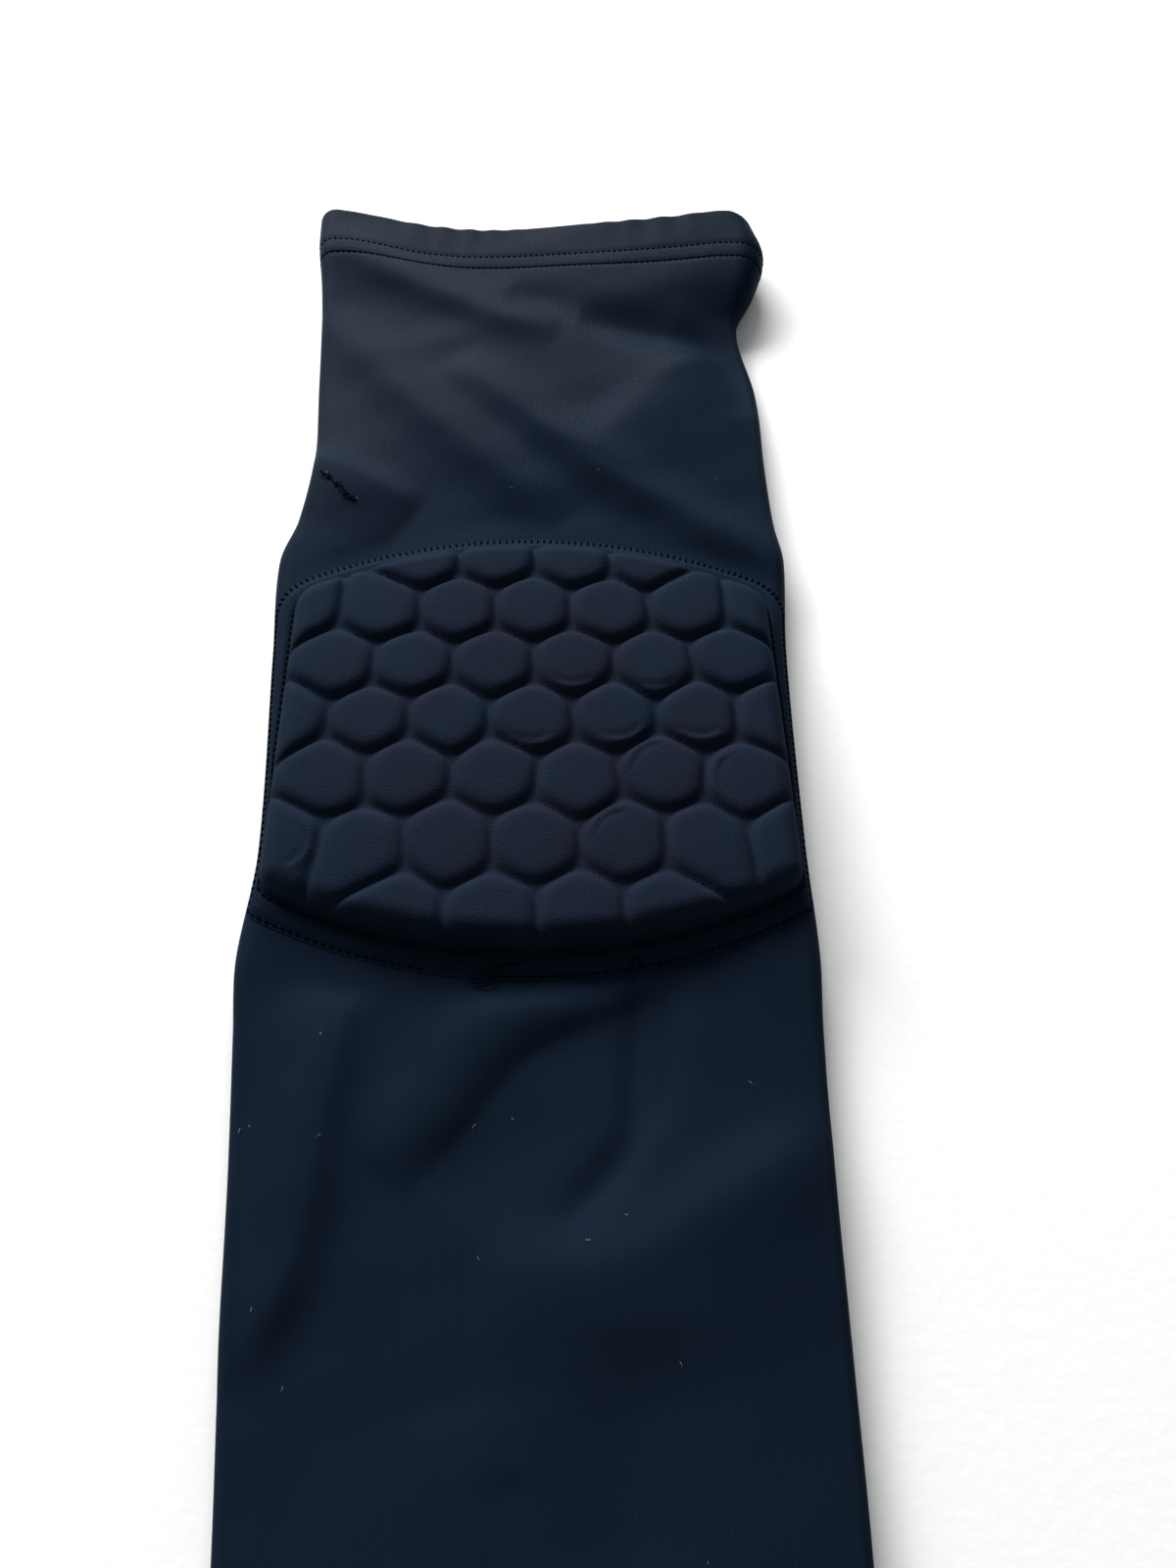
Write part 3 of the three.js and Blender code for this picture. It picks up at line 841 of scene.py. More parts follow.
def mottle_group(cut: Place = (0.3, 0.56), fade: Place = (1.0, 0.4)) -> Tree:
    """Patches of a slightly different shade, with fine grain, over a piece's own coordinates.

    Args:
        cut: Noise at which a patch begins, and at which it is full.
        fade: Shares of the reach at which patches have died out, and up to which they are full.

    Returns:
        The group.
    """
    nodes = Nodes(bpy.data.node_groups.new("mottle_patches", "ShaderNodeTree"))
    nodes.sockets("INPUT", Place="Vector", Patch_Scale="Float", Grain_Scale="Float")
    nodes.sockets("INPUT", Fresh="Color", Rubbed="Color", Middle="Vector", Reach="Float")
    nodes.sockets("OUTPUT", Color="Color", Patches="Float", Grain="Float")
    given = nodes.add("NodeGroupInput").outputs
    noise, step = "ShaderNodeTexNoise", "ShaderNodeMapRange"
    place = given["Place"]
    coarse = {"Vector": place, "Scale": given["Patch Scale"], "Detail": 4.0, "Roughness": 0.6}
    patches = nodes.add(noise, coarse).outputs[0]
    grain = nodes.add(noise, {"Vector": place, "Scale": given["Grain Scale"], "Detail": 2.0}).outputs[0]
    over = {"Value": patches, "From Min": cut[0], "From Max": cut[1]}
    patchy = nodes.add(step, over, interpolation_type="SMOOTHSTEP").outputs[0]
    away = nodes.add("ShaderNodeVectorMath", {0: place, 1: given["Middle"]}, operation="DISTANCE")
    share = nodes.math("DIVIDE", away.outputs["Value"], given["Reach"])
    near = {"Value": share, "From Min": fade[0], "From Max": fade[1]}
    close = nodes.add(step, near, interpolation_type="SMOOTHSTEP").outputs[0]
    mask = nodes.math("MULTIPLY", patchy, close)
    shades = {0: mask, 6: given["Fresh"], 7: given["Rubbed"]}
    mixed = nodes.add("ShaderNodeMix", shades, data_type="RGBA").outputs[2]
    nodes.add("NodeGroupOutput", {"Color": mixed, "Patches": mask, "Grain": grain})
    return nodes.tree


# Finishes


@dataclass(frozen=True, kw_only=True)
class Finish:
    """Two shades in patches, with fine grain and a little gloss."""

    name: str
    fresh: Colour
    mottled: Colour
    roughness: float
    specular: float
    patch_scale: float
    grain_scale: float
    bump_reach: float
    mottle_middle: Vec = (0.0, 0.0, 0.0)
    mottle_reach: float = 50.0  # metres from there to where patches have died out

    def start(self, mottle: Tree) -> tuple[Material, Nodes, bpy.types.NodeOutputs]:
        """A new material with its patches.

        Args:
            mottle: The group of mottled patches.

        Returns:
            The material, its nodes, and the outputs of the group.
        """
        made = bpy.data.materials.new(self.name)
        made.use_nodes = True
        made.node_tree.nodes.clear()
        nodes = Nodes(made.node_tree)
        given = {
            "Place": nodes.add("ShaderNodeTexCoord").outputs["Object"],
            "Patch Scale": self.patch_scale,
            "Grain Scale": self.grain_scale,
            "Fresh": self.fresh,
            "Rubbed": self.mottled,
            "Middle": self.mottle_middle,
            "Reach": self.mottle_reach,
        }
        return made, nodes, nodes.add("ShaderNodeGroup", given, node_tree=mottle).outputs


@dataclass(frozen=True, kw_only=True)
class PlainFinish(Finish):
    """A finish without a weave, as of thread, fibres and the floor."""

    specular: float = 0.0
    patch_scale: float = 700.0
    grain_scale: float = 5200.0
    bump_reach: float = 0.00008
    bump_strength: float = 0.6

    def material(self, mottle: Tree) -> Material:
        """The finish as a material, with the group of rubbed patches.

        Args:
            mottle: The group of mottled patches.

        Returns:
            The material.
        """
        made, nodes, patches = self.start(mottle)
        dents = {"Height": patches["Grain"], "Strength": self.bump_strength, "Distance": self.bump_reach}
        nodes.surface(
            {
                "Base Color": patches["Color"],
                "Roughness": self.roughness,
                "Specular IOR Level": self.specular,
                "Normal": nodes.add("ShaderNodeBump", dents).outputs[0],
            }
        )
        return made


@dataclass(frozen=True, kw_only=True)
class ClothFinish(Finish):
    """A knitted cloth, with the size of its loops."""

    specular_tint: Colour
    wale: float  # mm
    course: float  # mm
    knit_bump: float
    grain_bump: float
    patch_scale: float = 34.0
    grain_scale: float = 2600.0
    bump_reach: float = 0.00022
    mottle_reach: float = 5.0
    roughness_room: Place = (-0.03, 0.05)  # added for fresh cloth and for its mottled patches

    def material(self, mottle: Tree, knit: Tree) -> Material:
        """The finish as a material.

        Args:
            mottle: The group of mottled patches.
            knit: The group of knit loops.

        Returns:
            The material.
        """
        made, nodes, patches = self.start(mottle)
        cloth = nodes.add("ShaderNodeUVMap", uv_map=CLOTH_MAP).outputs[0]
        sizes = {"Cloth": cloth, "Wale": self.wale, "Course": self.course}
        loops = nodes.add("ShaderNodeGroup", sizes, node_tree=knit).outputs["Height"]
        loops = nodes.math("MULTIPLY", loops, self.knit_bump)
        height = nodes.math("ADD", loops, nodes.math("MULTIPLY", patches["Grain"], self.grain_bump))
        low, high = (self.roughness + room for room in self.roughness_room)
        rough = nodes.add("ShaderNodeMapRange", {"Value": patches["Patches"], "To Min": low, "To Max": high})
        dents = {"Height": height, "Distance": self.bump_reach}
        nodes.surface(
            {
                "Base Color": patches["Color"],
                "Roughness": rough.outputs[0],
                "Specular IOR Level": self.specular,
                "Specular Tint": self.specular_tint,
                "Normal": nodes.add("ShaderNodeBump", dents).outputs[0],
            }
        )
        return made


KNIT = ClothFinish(
    name="stretch_knit",
    fresh=(0.0050, 0.0102, 0.0196, 1.0),
    # slightly lighter patches of faded knit, all over the sleeve
    mottled=(0.0058, 0.0110, 0.0208, 1.0),
    roughness=0.33,
    specular=0.0041,
    specular_tint=(0.53, 0.76, 1.0, 1.0),
    wale=0.62,
    course=0.46,
    knit_bump=0.3,
    grain_bump=0.25,
)
PAD_COVER = ClothFinish(
    name="brushed_pad_cloth",
    fresh=(0.0080, 0.0146, 0.0260, 1.0),
    # the second shade is a purplish tint that shows only within 75 mm of the pad's middle
    mottled=(0.0101, 0.0129, 0.0236, 1.0),
    roughness=0.55,
    specular=0.004,
    specular_tint=(0.7, 0.8, 1.0, 1.0),
    wale=0.55,
    course=0.42,
    knit_bump=0.25,
    grain_bump=0.9,
    patch_scale=55.0,
    mottle_middle=(0.002, 0.004, 0.014),
    mottle_reach=0.075,
)
THREAD_WITH_PAINTED_SHADE = PlainFinish(
    name="sewing_thread_painted_shade",
    # the thread's own near-black navy, darkened several times past the knit's as painted shade of the dimples
    # that the stitches sink into
    fresh=(0.0012, 0.0019, 0.0046, 1.0),
    mottled=(0.0022, 0.0033, 0.0074, 1.0),
    roughness=0.6,
)
PULLED = PlainFinish(
    name="pulled_yarn",
    fresh=(0.0030, 0.0052, 0.0108, 1.0),
    mottled=(0.0068, 0.0100, 0.0180, 1.0),
    roughness=0.6,
)
LINT = PlainFinish(
    name="lint_fibre",
    fresh=(0.12, 0.13, 0.15, 1.0),
    mottled=(0.26, 0.27, 0.3, 1.0),
    roughness=0.8,
    specular=0.05,
)
FLOOR = PlainFinish(
    name="floor",
    fresh=(0.86, 0.86, 0.85, 1.0),
    mottled=(0.82, 0.82, 0.81, 1.0),
    roughness=0.6,
    specular=0.1,
    patch_scale=3.0,
    grain_scale=400.0,
)


# Sub-assemblies


@dataclass(frozen=True)
class Seam:
    """The path of a row of stitches on the cloth, and the way up at each point."""

    points: Array
    lie: Array
    closed: bool
    stitch: Stitch


@dataclass(frozen=True)
class SleeveBody:
    """The knitted tube between its hems."""

    knit: float = 1.0  # one layer
    step: float = 1.7
    fine_step: float = 0.45
    fine_stretch: float = 4.0
    dimple: float = 0.18  # how far the hems' stitches pull the cloth in
    dimple_width: float = 1.0
    spans: Spans = Spans()

    def build(self, tube: LyingTube) -> Piece:
        """The tube's wall as one closed mesh.

        Args:
            tube: The tube that it follows.

        Returns:
            The piece's object.
        """
        low = FOREARM_EDGE + HEM_DEPTH
        high = UPPER_ARM_EDGE - HEM_DEPTH
        y = spread(low, high, self.step, self.fine_step, self.fine_stretch)
        pulled = self.dimple * (bell(y - low, self.dimple_width) + bell(y - high, self.dimple_width))
        outer = np.stack([y, pulled], -1)
        inner = np.stack([y, np.full(len(y), self.knit)], -1)[::-1]
        return make_wall("knit_tube", tube, np.concatenate([outer, inner]), self.spans)

    def dress(self, piece: Piece, material: Material) -> None:
        """Gives the tube its finish and place."""
        settle(piece, material, Slot.KNIT, "sleeve_body")


@dataclass(frozen=True)
class Hem:
    """A hem turned in once, held by two rows of stitches."""

    name: str
    node: str
    edge: float
    towards: int
    knit: float = 1.9  # both layers
    depth: float = HEM_DEPTH
    rows: tuple[float, float] = (15.3, 21.3)  # from the edge
    dimple: float = 0.18
    dimple_width: float = 0.9
    step: float = 0.8
    roll_steps: int = 8
    spans: Spans = Spans()

    def pulled(self, depth: Array) -> Array:
        """How far the stitches pull the cloth in at distances from the edge."""
        return sum(self.dimple * bell(depth - row, self.dimple_width) for row in self.rows)

    def build(self, tube: LyingTube) -> Piece:
        """The hem's two layers as one closed mesh with a round edge.

        Args:
            tube: The tube that it ends.

        Returns:
            The piece's object.
        """
        radius = self.knit / 2
        flat = np.linspace(self.depth, radius, round(self.depth / self.step))
        outer = np.stack([flat, self.pulled(flat)], -1)
        turn = np.linspace(0.0, np.pi, self.roll_steps + 1)[1:-1]
        roll = np.stack([radius * (1.0 - np.sin(turn)), radius * (1.0 - np.cos(turn))], -1)
        inner = np.stack([flat, self.knit - self.pulled(flat) / 2], -1)[::-1]
        profile = np.concatenate([outer, roll, inner])
        profile[:, 0] = self.edge - self.towards * profile[:, 0]
        return make_wall(self.name, tube, profile, self.spans)

    def dress(self, piece: Piece, material: Material) -> None:
        """Gives the hem its finish and place."""
        settle(piece, material, Slot.KNIT, self.node)

    def seams(self, tube: LyingTube) -> list[Seam]:
        """The rows of stitches round the hem.

        Args:
            tube: The tube that it ends.

        Returns:
            One seam for each row.
        """
        found = []
        for row in self.rows:
            y = np.array([self.edge - self.towards * row])
            loops = tube.outside(y, self.spans)
            inward = tube.inward(loops)
            ring = loops + inward * self.dimple
            points = np.stack([ring[0, :, 0], tube.drawn(ring[0, :, 0], y), ring[0, :, 1]], -1)
            lie = np.stack([-inward[0, :, 0], np.zeros(ring.shape[1]), -inward[0, :, 1]], -1)
            found.append(Seam(points, lie, True, Stitch.HEM))
        return found


@dataclass(frozen=True)
class PadOutline:
    """The pad's barrel-shaped outline, of straight sides, wide arcs and rounded corners."""

    half_width: float = 59.3
    top: float = 55.0
    bottom: float = -56.0
    arc_radius: float = 124.0
    top_corner: float = 9.0
    bottom_corner: float = 5.0
    arc_steps: int = 80

    def corner(self, radius: float) -> Vec:
        """A corner's middle, and the turn at which the wide arc ends there.

        Args:
            radius: The corner's radius.

        Returns:
            The middle's place across, its place over the arc's middle, and the turn.
        """
        across = self.half_width - radius
        rise = math.sqrt((self.arc_radius - radius) ** 2 - across**2)
        return across, rise, math.atan2(rise, across)

    def ends(self) -> tuple[tuple[int, float, float], ...]:
        """The two ends, as their direction, their arc's middle and their corners' radius."""
        return (
            (1, self.top - self.arc_radius, self.top_corner),
            (-1, self.bottom + self.arc_radius, self.bottom_corner),
        )

    def edge(self, x: Array, way: int) -> Array:
        """The outline's place along the sleeve over places across.

        Args:
            x: Places across.
            way: 1 for the top edge, -1 for the bottom one.

        Returns:
            The edge's places.
        """
        _, middle, radius = next(end for end in self.ends() if end[0] == way)
        across, rise, _ = self.corner(radius)
        size = np.minimum(np.abs(x), self.half_width)
        tangent = across * self.arc_radius / (self.arc_radius - radius)
        arc = np.sqrt(self.arc_radius**2 - np.minimum(size, tangent) ** 2)
        bend = rise + np.sqrt(np.maximum(0.0, radius**2 - np.maximum(size - across, 0.0) ** 2))
        return middle + way * np.where(size <= tangent, arc, bend)

    def inside(self, x: Array, y: Array) -> Array:
        """Distance from the outline to places inside it.

        Args:
            x: Places across.
            y: Places along.

        Returns:
            The distances, negative outside.
        """
        size = np.abs(x)
        nearest = self.half_width - size
        for way, middle, radius in self.ends():
            along = way * (y - middle)
            nearest = np.minimum(nearest, self.arc_radius - np.hypot(size, along))
            across, rise, angle = self.corner(radius)
            turn = np.arctan2(along - rise, size - across)
            in_corner = (turn > 0) & (turn < angle)
            nearest = np.where(in_corner, radius - np.hypot(size - across, along - rise), nearest)
        return nearest

    def walk(self, step: float) -> tuple[Array, Array]:
        """Evenly spaced places round the outline.

        Args:
            step: Distance between the places.

        Returns:
            The places, turning to the left from the right side's upper end, and the way out at each.
        """
        (_, top_middle, top_radius), (_, low_middle, low_radius) = self.ends()
        top_x, top_rise, top_turn = self.corner(top_radius)
        low_x, low_rise, low_turn = self.corner(low_radius)
        top_y, low_y = top_middle + top_rise, low_middle - low_rise
        arcs = (
            (top_x, top_y, top_radius, 0.0, top_turn),
            (0.0, top_middle, self.arc_radius, top_turn, math.pi - top_turn),
            (-top_x, top_y, top_radius, math.pi - top_turn, math.pi),
            (-low_x, low_y, low_radius, math.pi, math.pi + low_turn),
            (0.0, low_middle, self.arc_radius, math.pi + low_turn, math.tau - low_turn),
            (low_x, low_y, low_radius, math.tau - low_turn, math.tau),
        )
        rows = []
        for x, y, radius, first, last in arcs:
            turn = np.linspace(first, last, self.arc_steps)
            out = np.stack([np.cos(turn), np.sin(turn)], -1)
            rows.append(np.concatenate([np.array([x, y]) + radius * out, out], axis=1))
        dense = np.concatenate([*rows, rows[0][:1]])
        reached = np.concatenate([[0.0], np.cumsum(np.hypot(*np.diff(dense[:, :2], axis=0).T))])
        places = np.linspace(0.0, reached[-1], round(reached[-1] / step), endpoint=False)
        even = np.stack([np.interp(places, reached, dense[:, k]) for k in range(4)], -1)
        return even[:, :2], even[:, 2:] / np.linalg.norm(even[:, 2:], axis=1, keepdims=True)


@dataclass(frozen=True)
class ElbowPad:
    """The foam pad, moulded into six-sided cells under its cover."""

    outline: PadOutline = PadOutline()
    base: float = SEAT + 0.3
    thick: float = 8.0
    foot: float = 1.0  # upright part of its side
    rim: float = 5.2  # width of its rounded edge
    rim_power: float = 2.3
    pitch: float = 19.0  # across the flats of a cell
    groove: float = 1.2
    groove_width: float = 1.35
    groove_power: float = 1.55
    groove_fade: float = 0.25  # how much shallower it is at the pad's foot
    groove_fade_span: Place = (20.0, -45.0)
    corner_round: float = 1.35
    crease: float = 0.6  # of a fine line along the groove's floor
    crease_width: float = 0.6
    dome: float = 0.24
    crown: float = 1.2
    crown_shares: Place = (0.7, 0.3)  # of the sides and of the ends
    stray: float = 0.8  # how far cells lie off their grid
    cell_rows: int = 4
    cell_reach: float = 2.5  # how far outside the outline a cell's middle may lie
    # Where the cover is loose: a cell's row, its place across, and the way from its middle in degrees
    lips: tuple[tuple[int, float, float], ...] = (
        (1, 0.5, -90), (1, 1.5, -78), (0, 0.0, -95), (0, 1.0, -72), (0, 2.0, -95),
        (-1, 1.5, 135), (-1, 2.5, 170), (-2, 1.0, 130), (-2, -3.0, -20),
    )
    lip: float = 0.36
    lip_radius: float = 7.9
    lip_width: float = 0.6
    lip_reach: Place = (0.62, 0.9)  # cosines at the ends of a lip and where it is full
    dip: float = 0.7  # of the hollow inside a lip, as a share of its height
    dip_inset: float = 1.3
    dip_width: float = 0.8
    step: float = 0.75
    fine_step: float = 0.42
    fine_stretch: float = 6.0
    end_steps: Vec = (0.03, 0.12, 0.25)  # extra places near the straight sides

    def cells(self) -> tuple[Array, Array]:
        """The middles of the cells, and the way to each one's loose lip, or no way."""
        draw = np.random.default_rng(SEED)
        ways = {(row, across): math.radians(way) for row, across, way in self.lips}
        middles, loose = [], []
        reach = math.ceil(self.outline.half_width / self.pitch) + 1
        for row in range(-self.cell_rows, self.cell_rows + 1):
            for k in range(-reach, reach + 1):
                across = k + (row % 2) / 2
                off = draw.normal(0.0, self.stray, 2)
                x = across * self.pitch + off[0]
                y = row * self.pitch * math.sin(math.pi / 3) + off[1]
                if self.outline.inside(np.array(x), np.array(y)) > -self.cell_reach:
                    middles.append((x, y))
                    way = ways.get((row, across))
                    loose.append((0.0, 0.0) if way is None else (math.cos(way), math.sin(way)))
        return np.array(middles), np.array(loose)

    def relief(self, x: Array, y: Array) -> Array:
        """What the cells, the grooves between them and the loose lips add to the upper face.

        Args:
            x: Plan places across.
            y: Plan places along.

        Returns:
            The heights.
        """
        middles, loose = self.cells()
        away = np.hypot(x[..., None] - middles[:, 0], y[..., None] - middles[:, 1])
        own = np.argmin(away, axis=-1)
        own_away = np.take_along_axis(away, own[..., None], -1)
        apart = np.hypot(*(middles[:, None] - middles[None]).transpose(2, 0, 1))
        gap = (away**2 - own_away**2) / (2.0 * np.maximum(apart[own], TINY))
        np.put_along_axis(gap, own[..., None], np.inf, -1)
        edge = np.maximum(0.0, -self.corner_round * np.log(np.exp(-gap / self.corner_round).sum(-1)))
        reach = own_away[..., 0]
        relief = -self.groove * np.exp(-((edge / self.groove_width) ** self.groove_power))
        relief -= self.crease * bell(edge, self.crease_width)
        relief *= 1.0 - self.groove_fade * smooth(*self.groove_fade_span, y)
        relief -= self.dome * (reach / self.pitch * 2.0) ** 2
        towards = (x - middles[own, 0]) * loose[own, 0] + (y - middles[own, 1]) * loose[own, 1]
        lip = self.lip * smooth(*self.lip_reach, towards / np.maximum(reach, TINY))
        dip = self.dip * bell(reach - self.lip_radius + self.dip_inset, self.dip_width)
        return relief + lip * (bell(reach - self.lip_radius, self.lip_width) - dip)

    def height(self, x: Array, y: Array) -> Array:
        """Height of the pad's upper face.

        Args:
            x: Plan places across.
            y: Plan places along.

        Returns:
            The heights.
        """
        side, end = self.crown_shares
        fall = side * (x / self.outline.half_width) ** 2 + end * (y / self.outline.top) ** 2
        full = self.thick - self.foot - self.crown * fall + self.relief(x, y)
        inside = np.clip(self.outline.inside(x, y) / self.rim, 0.0, 1.0)
        rounded = (1.0 - (1.0 - inside) ** self.rim_power) ** (1.0 / self.rim_power)
        return self.base + self.foot + full * rounded

    def build(self) -> Piece:
        """The pad as one closed mesh with upright sides and a flat underside."""
        half = self.outline.half_width
        across = spread(-half, half, self.step, self.fine_step, self.fine_stretch)
        end = np.array(self.end_steps)
        across = np.sort(np.concatenate([across, half - end, end - half]))
        length = self.outline.top - self.outline.bottom
        share = spread(0.0, length, self.step, self.fine_step, self.fine_stretch) / length
        low, high = self.outline.edge(across, -1), self.outline.edge(across, 1)
        x = np.broadcast_to(across[:, None], (len(across), len(share)))
        y = low[:, None] + (high - low)[:, None] * share[None]
        top = np.stack([x, y, self.height(x, y)], -1).reshape(-1, 3)
        faces, _ = grid_faces(*x.shape, False, False)
        number = np.arange(len(top)).reshape(x.shape)
        ring = np.concatenate([number[:-1, 0], number[-1, :-1], number[:0:-1, -1], number[0, :0:-1]])
        foot = top[ring] * (1.0, 1.0, 0.0) + (0.0, 0.0, self.base)
        below = len(top) + np.arange(len(ring))
        points = np.concatenate([top, foot, [[0.0, 0.0, self.base]]])
        sides = np.stack([below, np.roll(below, -1), np.roll(ring, -1), ring], -1)
        under = np.stack([np.full(len(ring), len(points) - 1), np.roll(below, -1), below], -1)
        corners = np.concatenate([faces.ravel(), sides.ravel(), under.ravel()])
        return make_piece(
            "moulded_pad", points, faces.tolist() + sides.tolist() + under.tolist(), points[corners, :2]
        )

    def dress(self, piece: Piece, material: Material) -> None:
        """Gives the pad its finish and place."""
        settle(piece, material, Slot.PAD_COVER, "elbow_pad")


@dataclass(frozen=True)
class PadMargin:
    """The flat cloth rim round the pad, sewn down by two rows."""

    outline: PadOutline = PadOutline()
    width: float = 6.4
    thick: float = 0.75
    lift: float = 0.06  # of its underside over the sleeve
    inset: float = 1.2  # from the sleeve's own side edge
    inset_more: float = 1.2  # how much further in it is beside the pad, as a share of that
    rows: tuple[float, float] = (0.9, 5.5)  # from the pad's outline
    dimple: float = 0.3
    dimple_width: float = 0.6
    edge_width: float = 3.0
    edge_thick: float = 0.08  # what is left of its thickness at its edge
    first_lane: float = 0.05
    lanes: int = 26
    step: float = 0.8
    slope_reach: float = 0.3
    slope_most: float = 2.0
    bars_from: float = -40.0  # the outer row has bars on the upper-arm side of this place
    missing: Place = (-24.0, -10.5)  # stitches gone from the outer row at the pad's foot

    def spot(self, tube: LyingTube, places: Array, out: Array, offset: float) -> Array:
        """Plan places at an offset from the outline, kept on the sleeve.

        Args:
            tube: The tube under the rim.
            places: Places on the outline.
            out: The way out at each.
            offset: Distance outwards.

        Returns:
            The plan places.
        """
        moved = places + out * offset
        row = tube.section(moved[:, 1])
        share = smooth(0.0, self.width, np.full(len(moved), offset))
        room = self.inset * (1.0 + self.inset_more * (1.0 - share))
        moved[:, 0] = np.clip(moved[:, 0], room - row.left, row.right - room)
        return moved

    def rise(self, offset: float) -> float:
        """Thickness of the rim, pulled in at its stitches.

        Args:
            offset: Distance from the pad's outline.

        Returns:
            The thickness.
        """
        pulled = sum(bell(offset - row, self.dimple_width) for row in self.rows)
        ending = smooth(0.0, self.edge_width, self.width - offset)
        return (self.thick - self.dimple * pulled) * (self.edge_thick + (1.0 - self.edge_thick) * ending)

    def build(self, tube: LyingTube) -> Piece:
        """The rim as one closed ring.

        Args:
            tube: The tube under it.

        Returns:
            The piece's object.
        """
        places, out = self.outline.walk(self.step)
        offsets = np.linspace(self.first_lane, self.width, self.lanes)
        rows = []
        for raised in (True, False):
            for offset in offsets if raised else offsets[::-1]:
                spot = self.spot(tube, places, out, offset)
                height = tube.top(spot[:, 0], spot[:, 1]) + self.lift
                rows.append(np.column_stack([spot, height + (self.rise(offset) if raised else 0.0)]))
        points = np.stack(rows)
        quads, _ = grid_faces(*points.shape[:2], True, True)
        points = points.reshape(-1, 3)
        return make_shell("pad_rim", points, quads, points[quads][..., :2])

    def dress(self, piece: Piece, material: Material) -> None:
        """Gives the rim its finish and place."""
        settle(piece, material, Slot.KNIT, "pad_margin")

    def lifted(self, tube: LyingTube, places: Array, out: Array, offset: float) -> tuple[Array, Array]:
        """Points on the rim's upper face at an offset from the outline, and the way up at each.

        Args:
            tube: The tube under the rim.
            places: Places on the outline.
            out: The way out at each.
            offset: Distance outwards.

        Returns:
            Points, and directions square to the cloth.
        """
        spot = self.spot(tube, places, out, offset)
        reach, most = self.slope_reach, self.slope_most
        x, y = spot.T
        slope_x = (tube.top(x + reach, y) - tube.top(x - reach, y)) / (2 * reach)
        slope_y = (tube.top(x, y + reach) - tube.top(x, y - reach)) / (2 * reach)
        slopes = np.clip(np.column_stack([slope_x, slope_y]), -most, most)
        lie = np.column_stack([-slopes, np.ones(len(x))])
        height = tube.top(x, y) + self.lift + self.rise(offset)
        return np.column_stack([spot, height]), lie / np.linalg.norm(lie, axis=1, keepdims=True)

    def seams(self, tube: LyingTube) -> list[Seam]:
        """The rows of stitches round the pad: one at its foot, and the outer one with its missing stitches.

        Args:
            tube: The tube under the rim.

        Returns:
            The inner seam, and the outer one's stretches.
        """
        places, out = self.outline.walk(self.step)
        inner, outer = (self.lifted(tube, places, out, row) for row in self.rows)
        bars = outer[0][:, 1] > self.bars_from
        start = int(np.argmax(~bars & np.roll(bars, 1)))
        points, lie, bars = (np.roll(part, -start, axis=0) for part in (*outer, bars))
        below = int(np.argmax(bars))
        gone = (points[:below, 0] > self.missing[0]) & (points[:below, 0] < self.missing[1])
        first, last = int(np.argmax(gone)), below - int(np.argmax(gone[::-1]))
        return [
            Seam(*inner, True, Stitch.RUNNING),
            Seam(points[:first], lie[:first], False, Stitch.RUNNING),
            Seam(points[last:below], lie[last:below], False, Stitch.RUNNING),
            Seam(points[below:], lie[below:], False, Stitch.BAR),
        ]


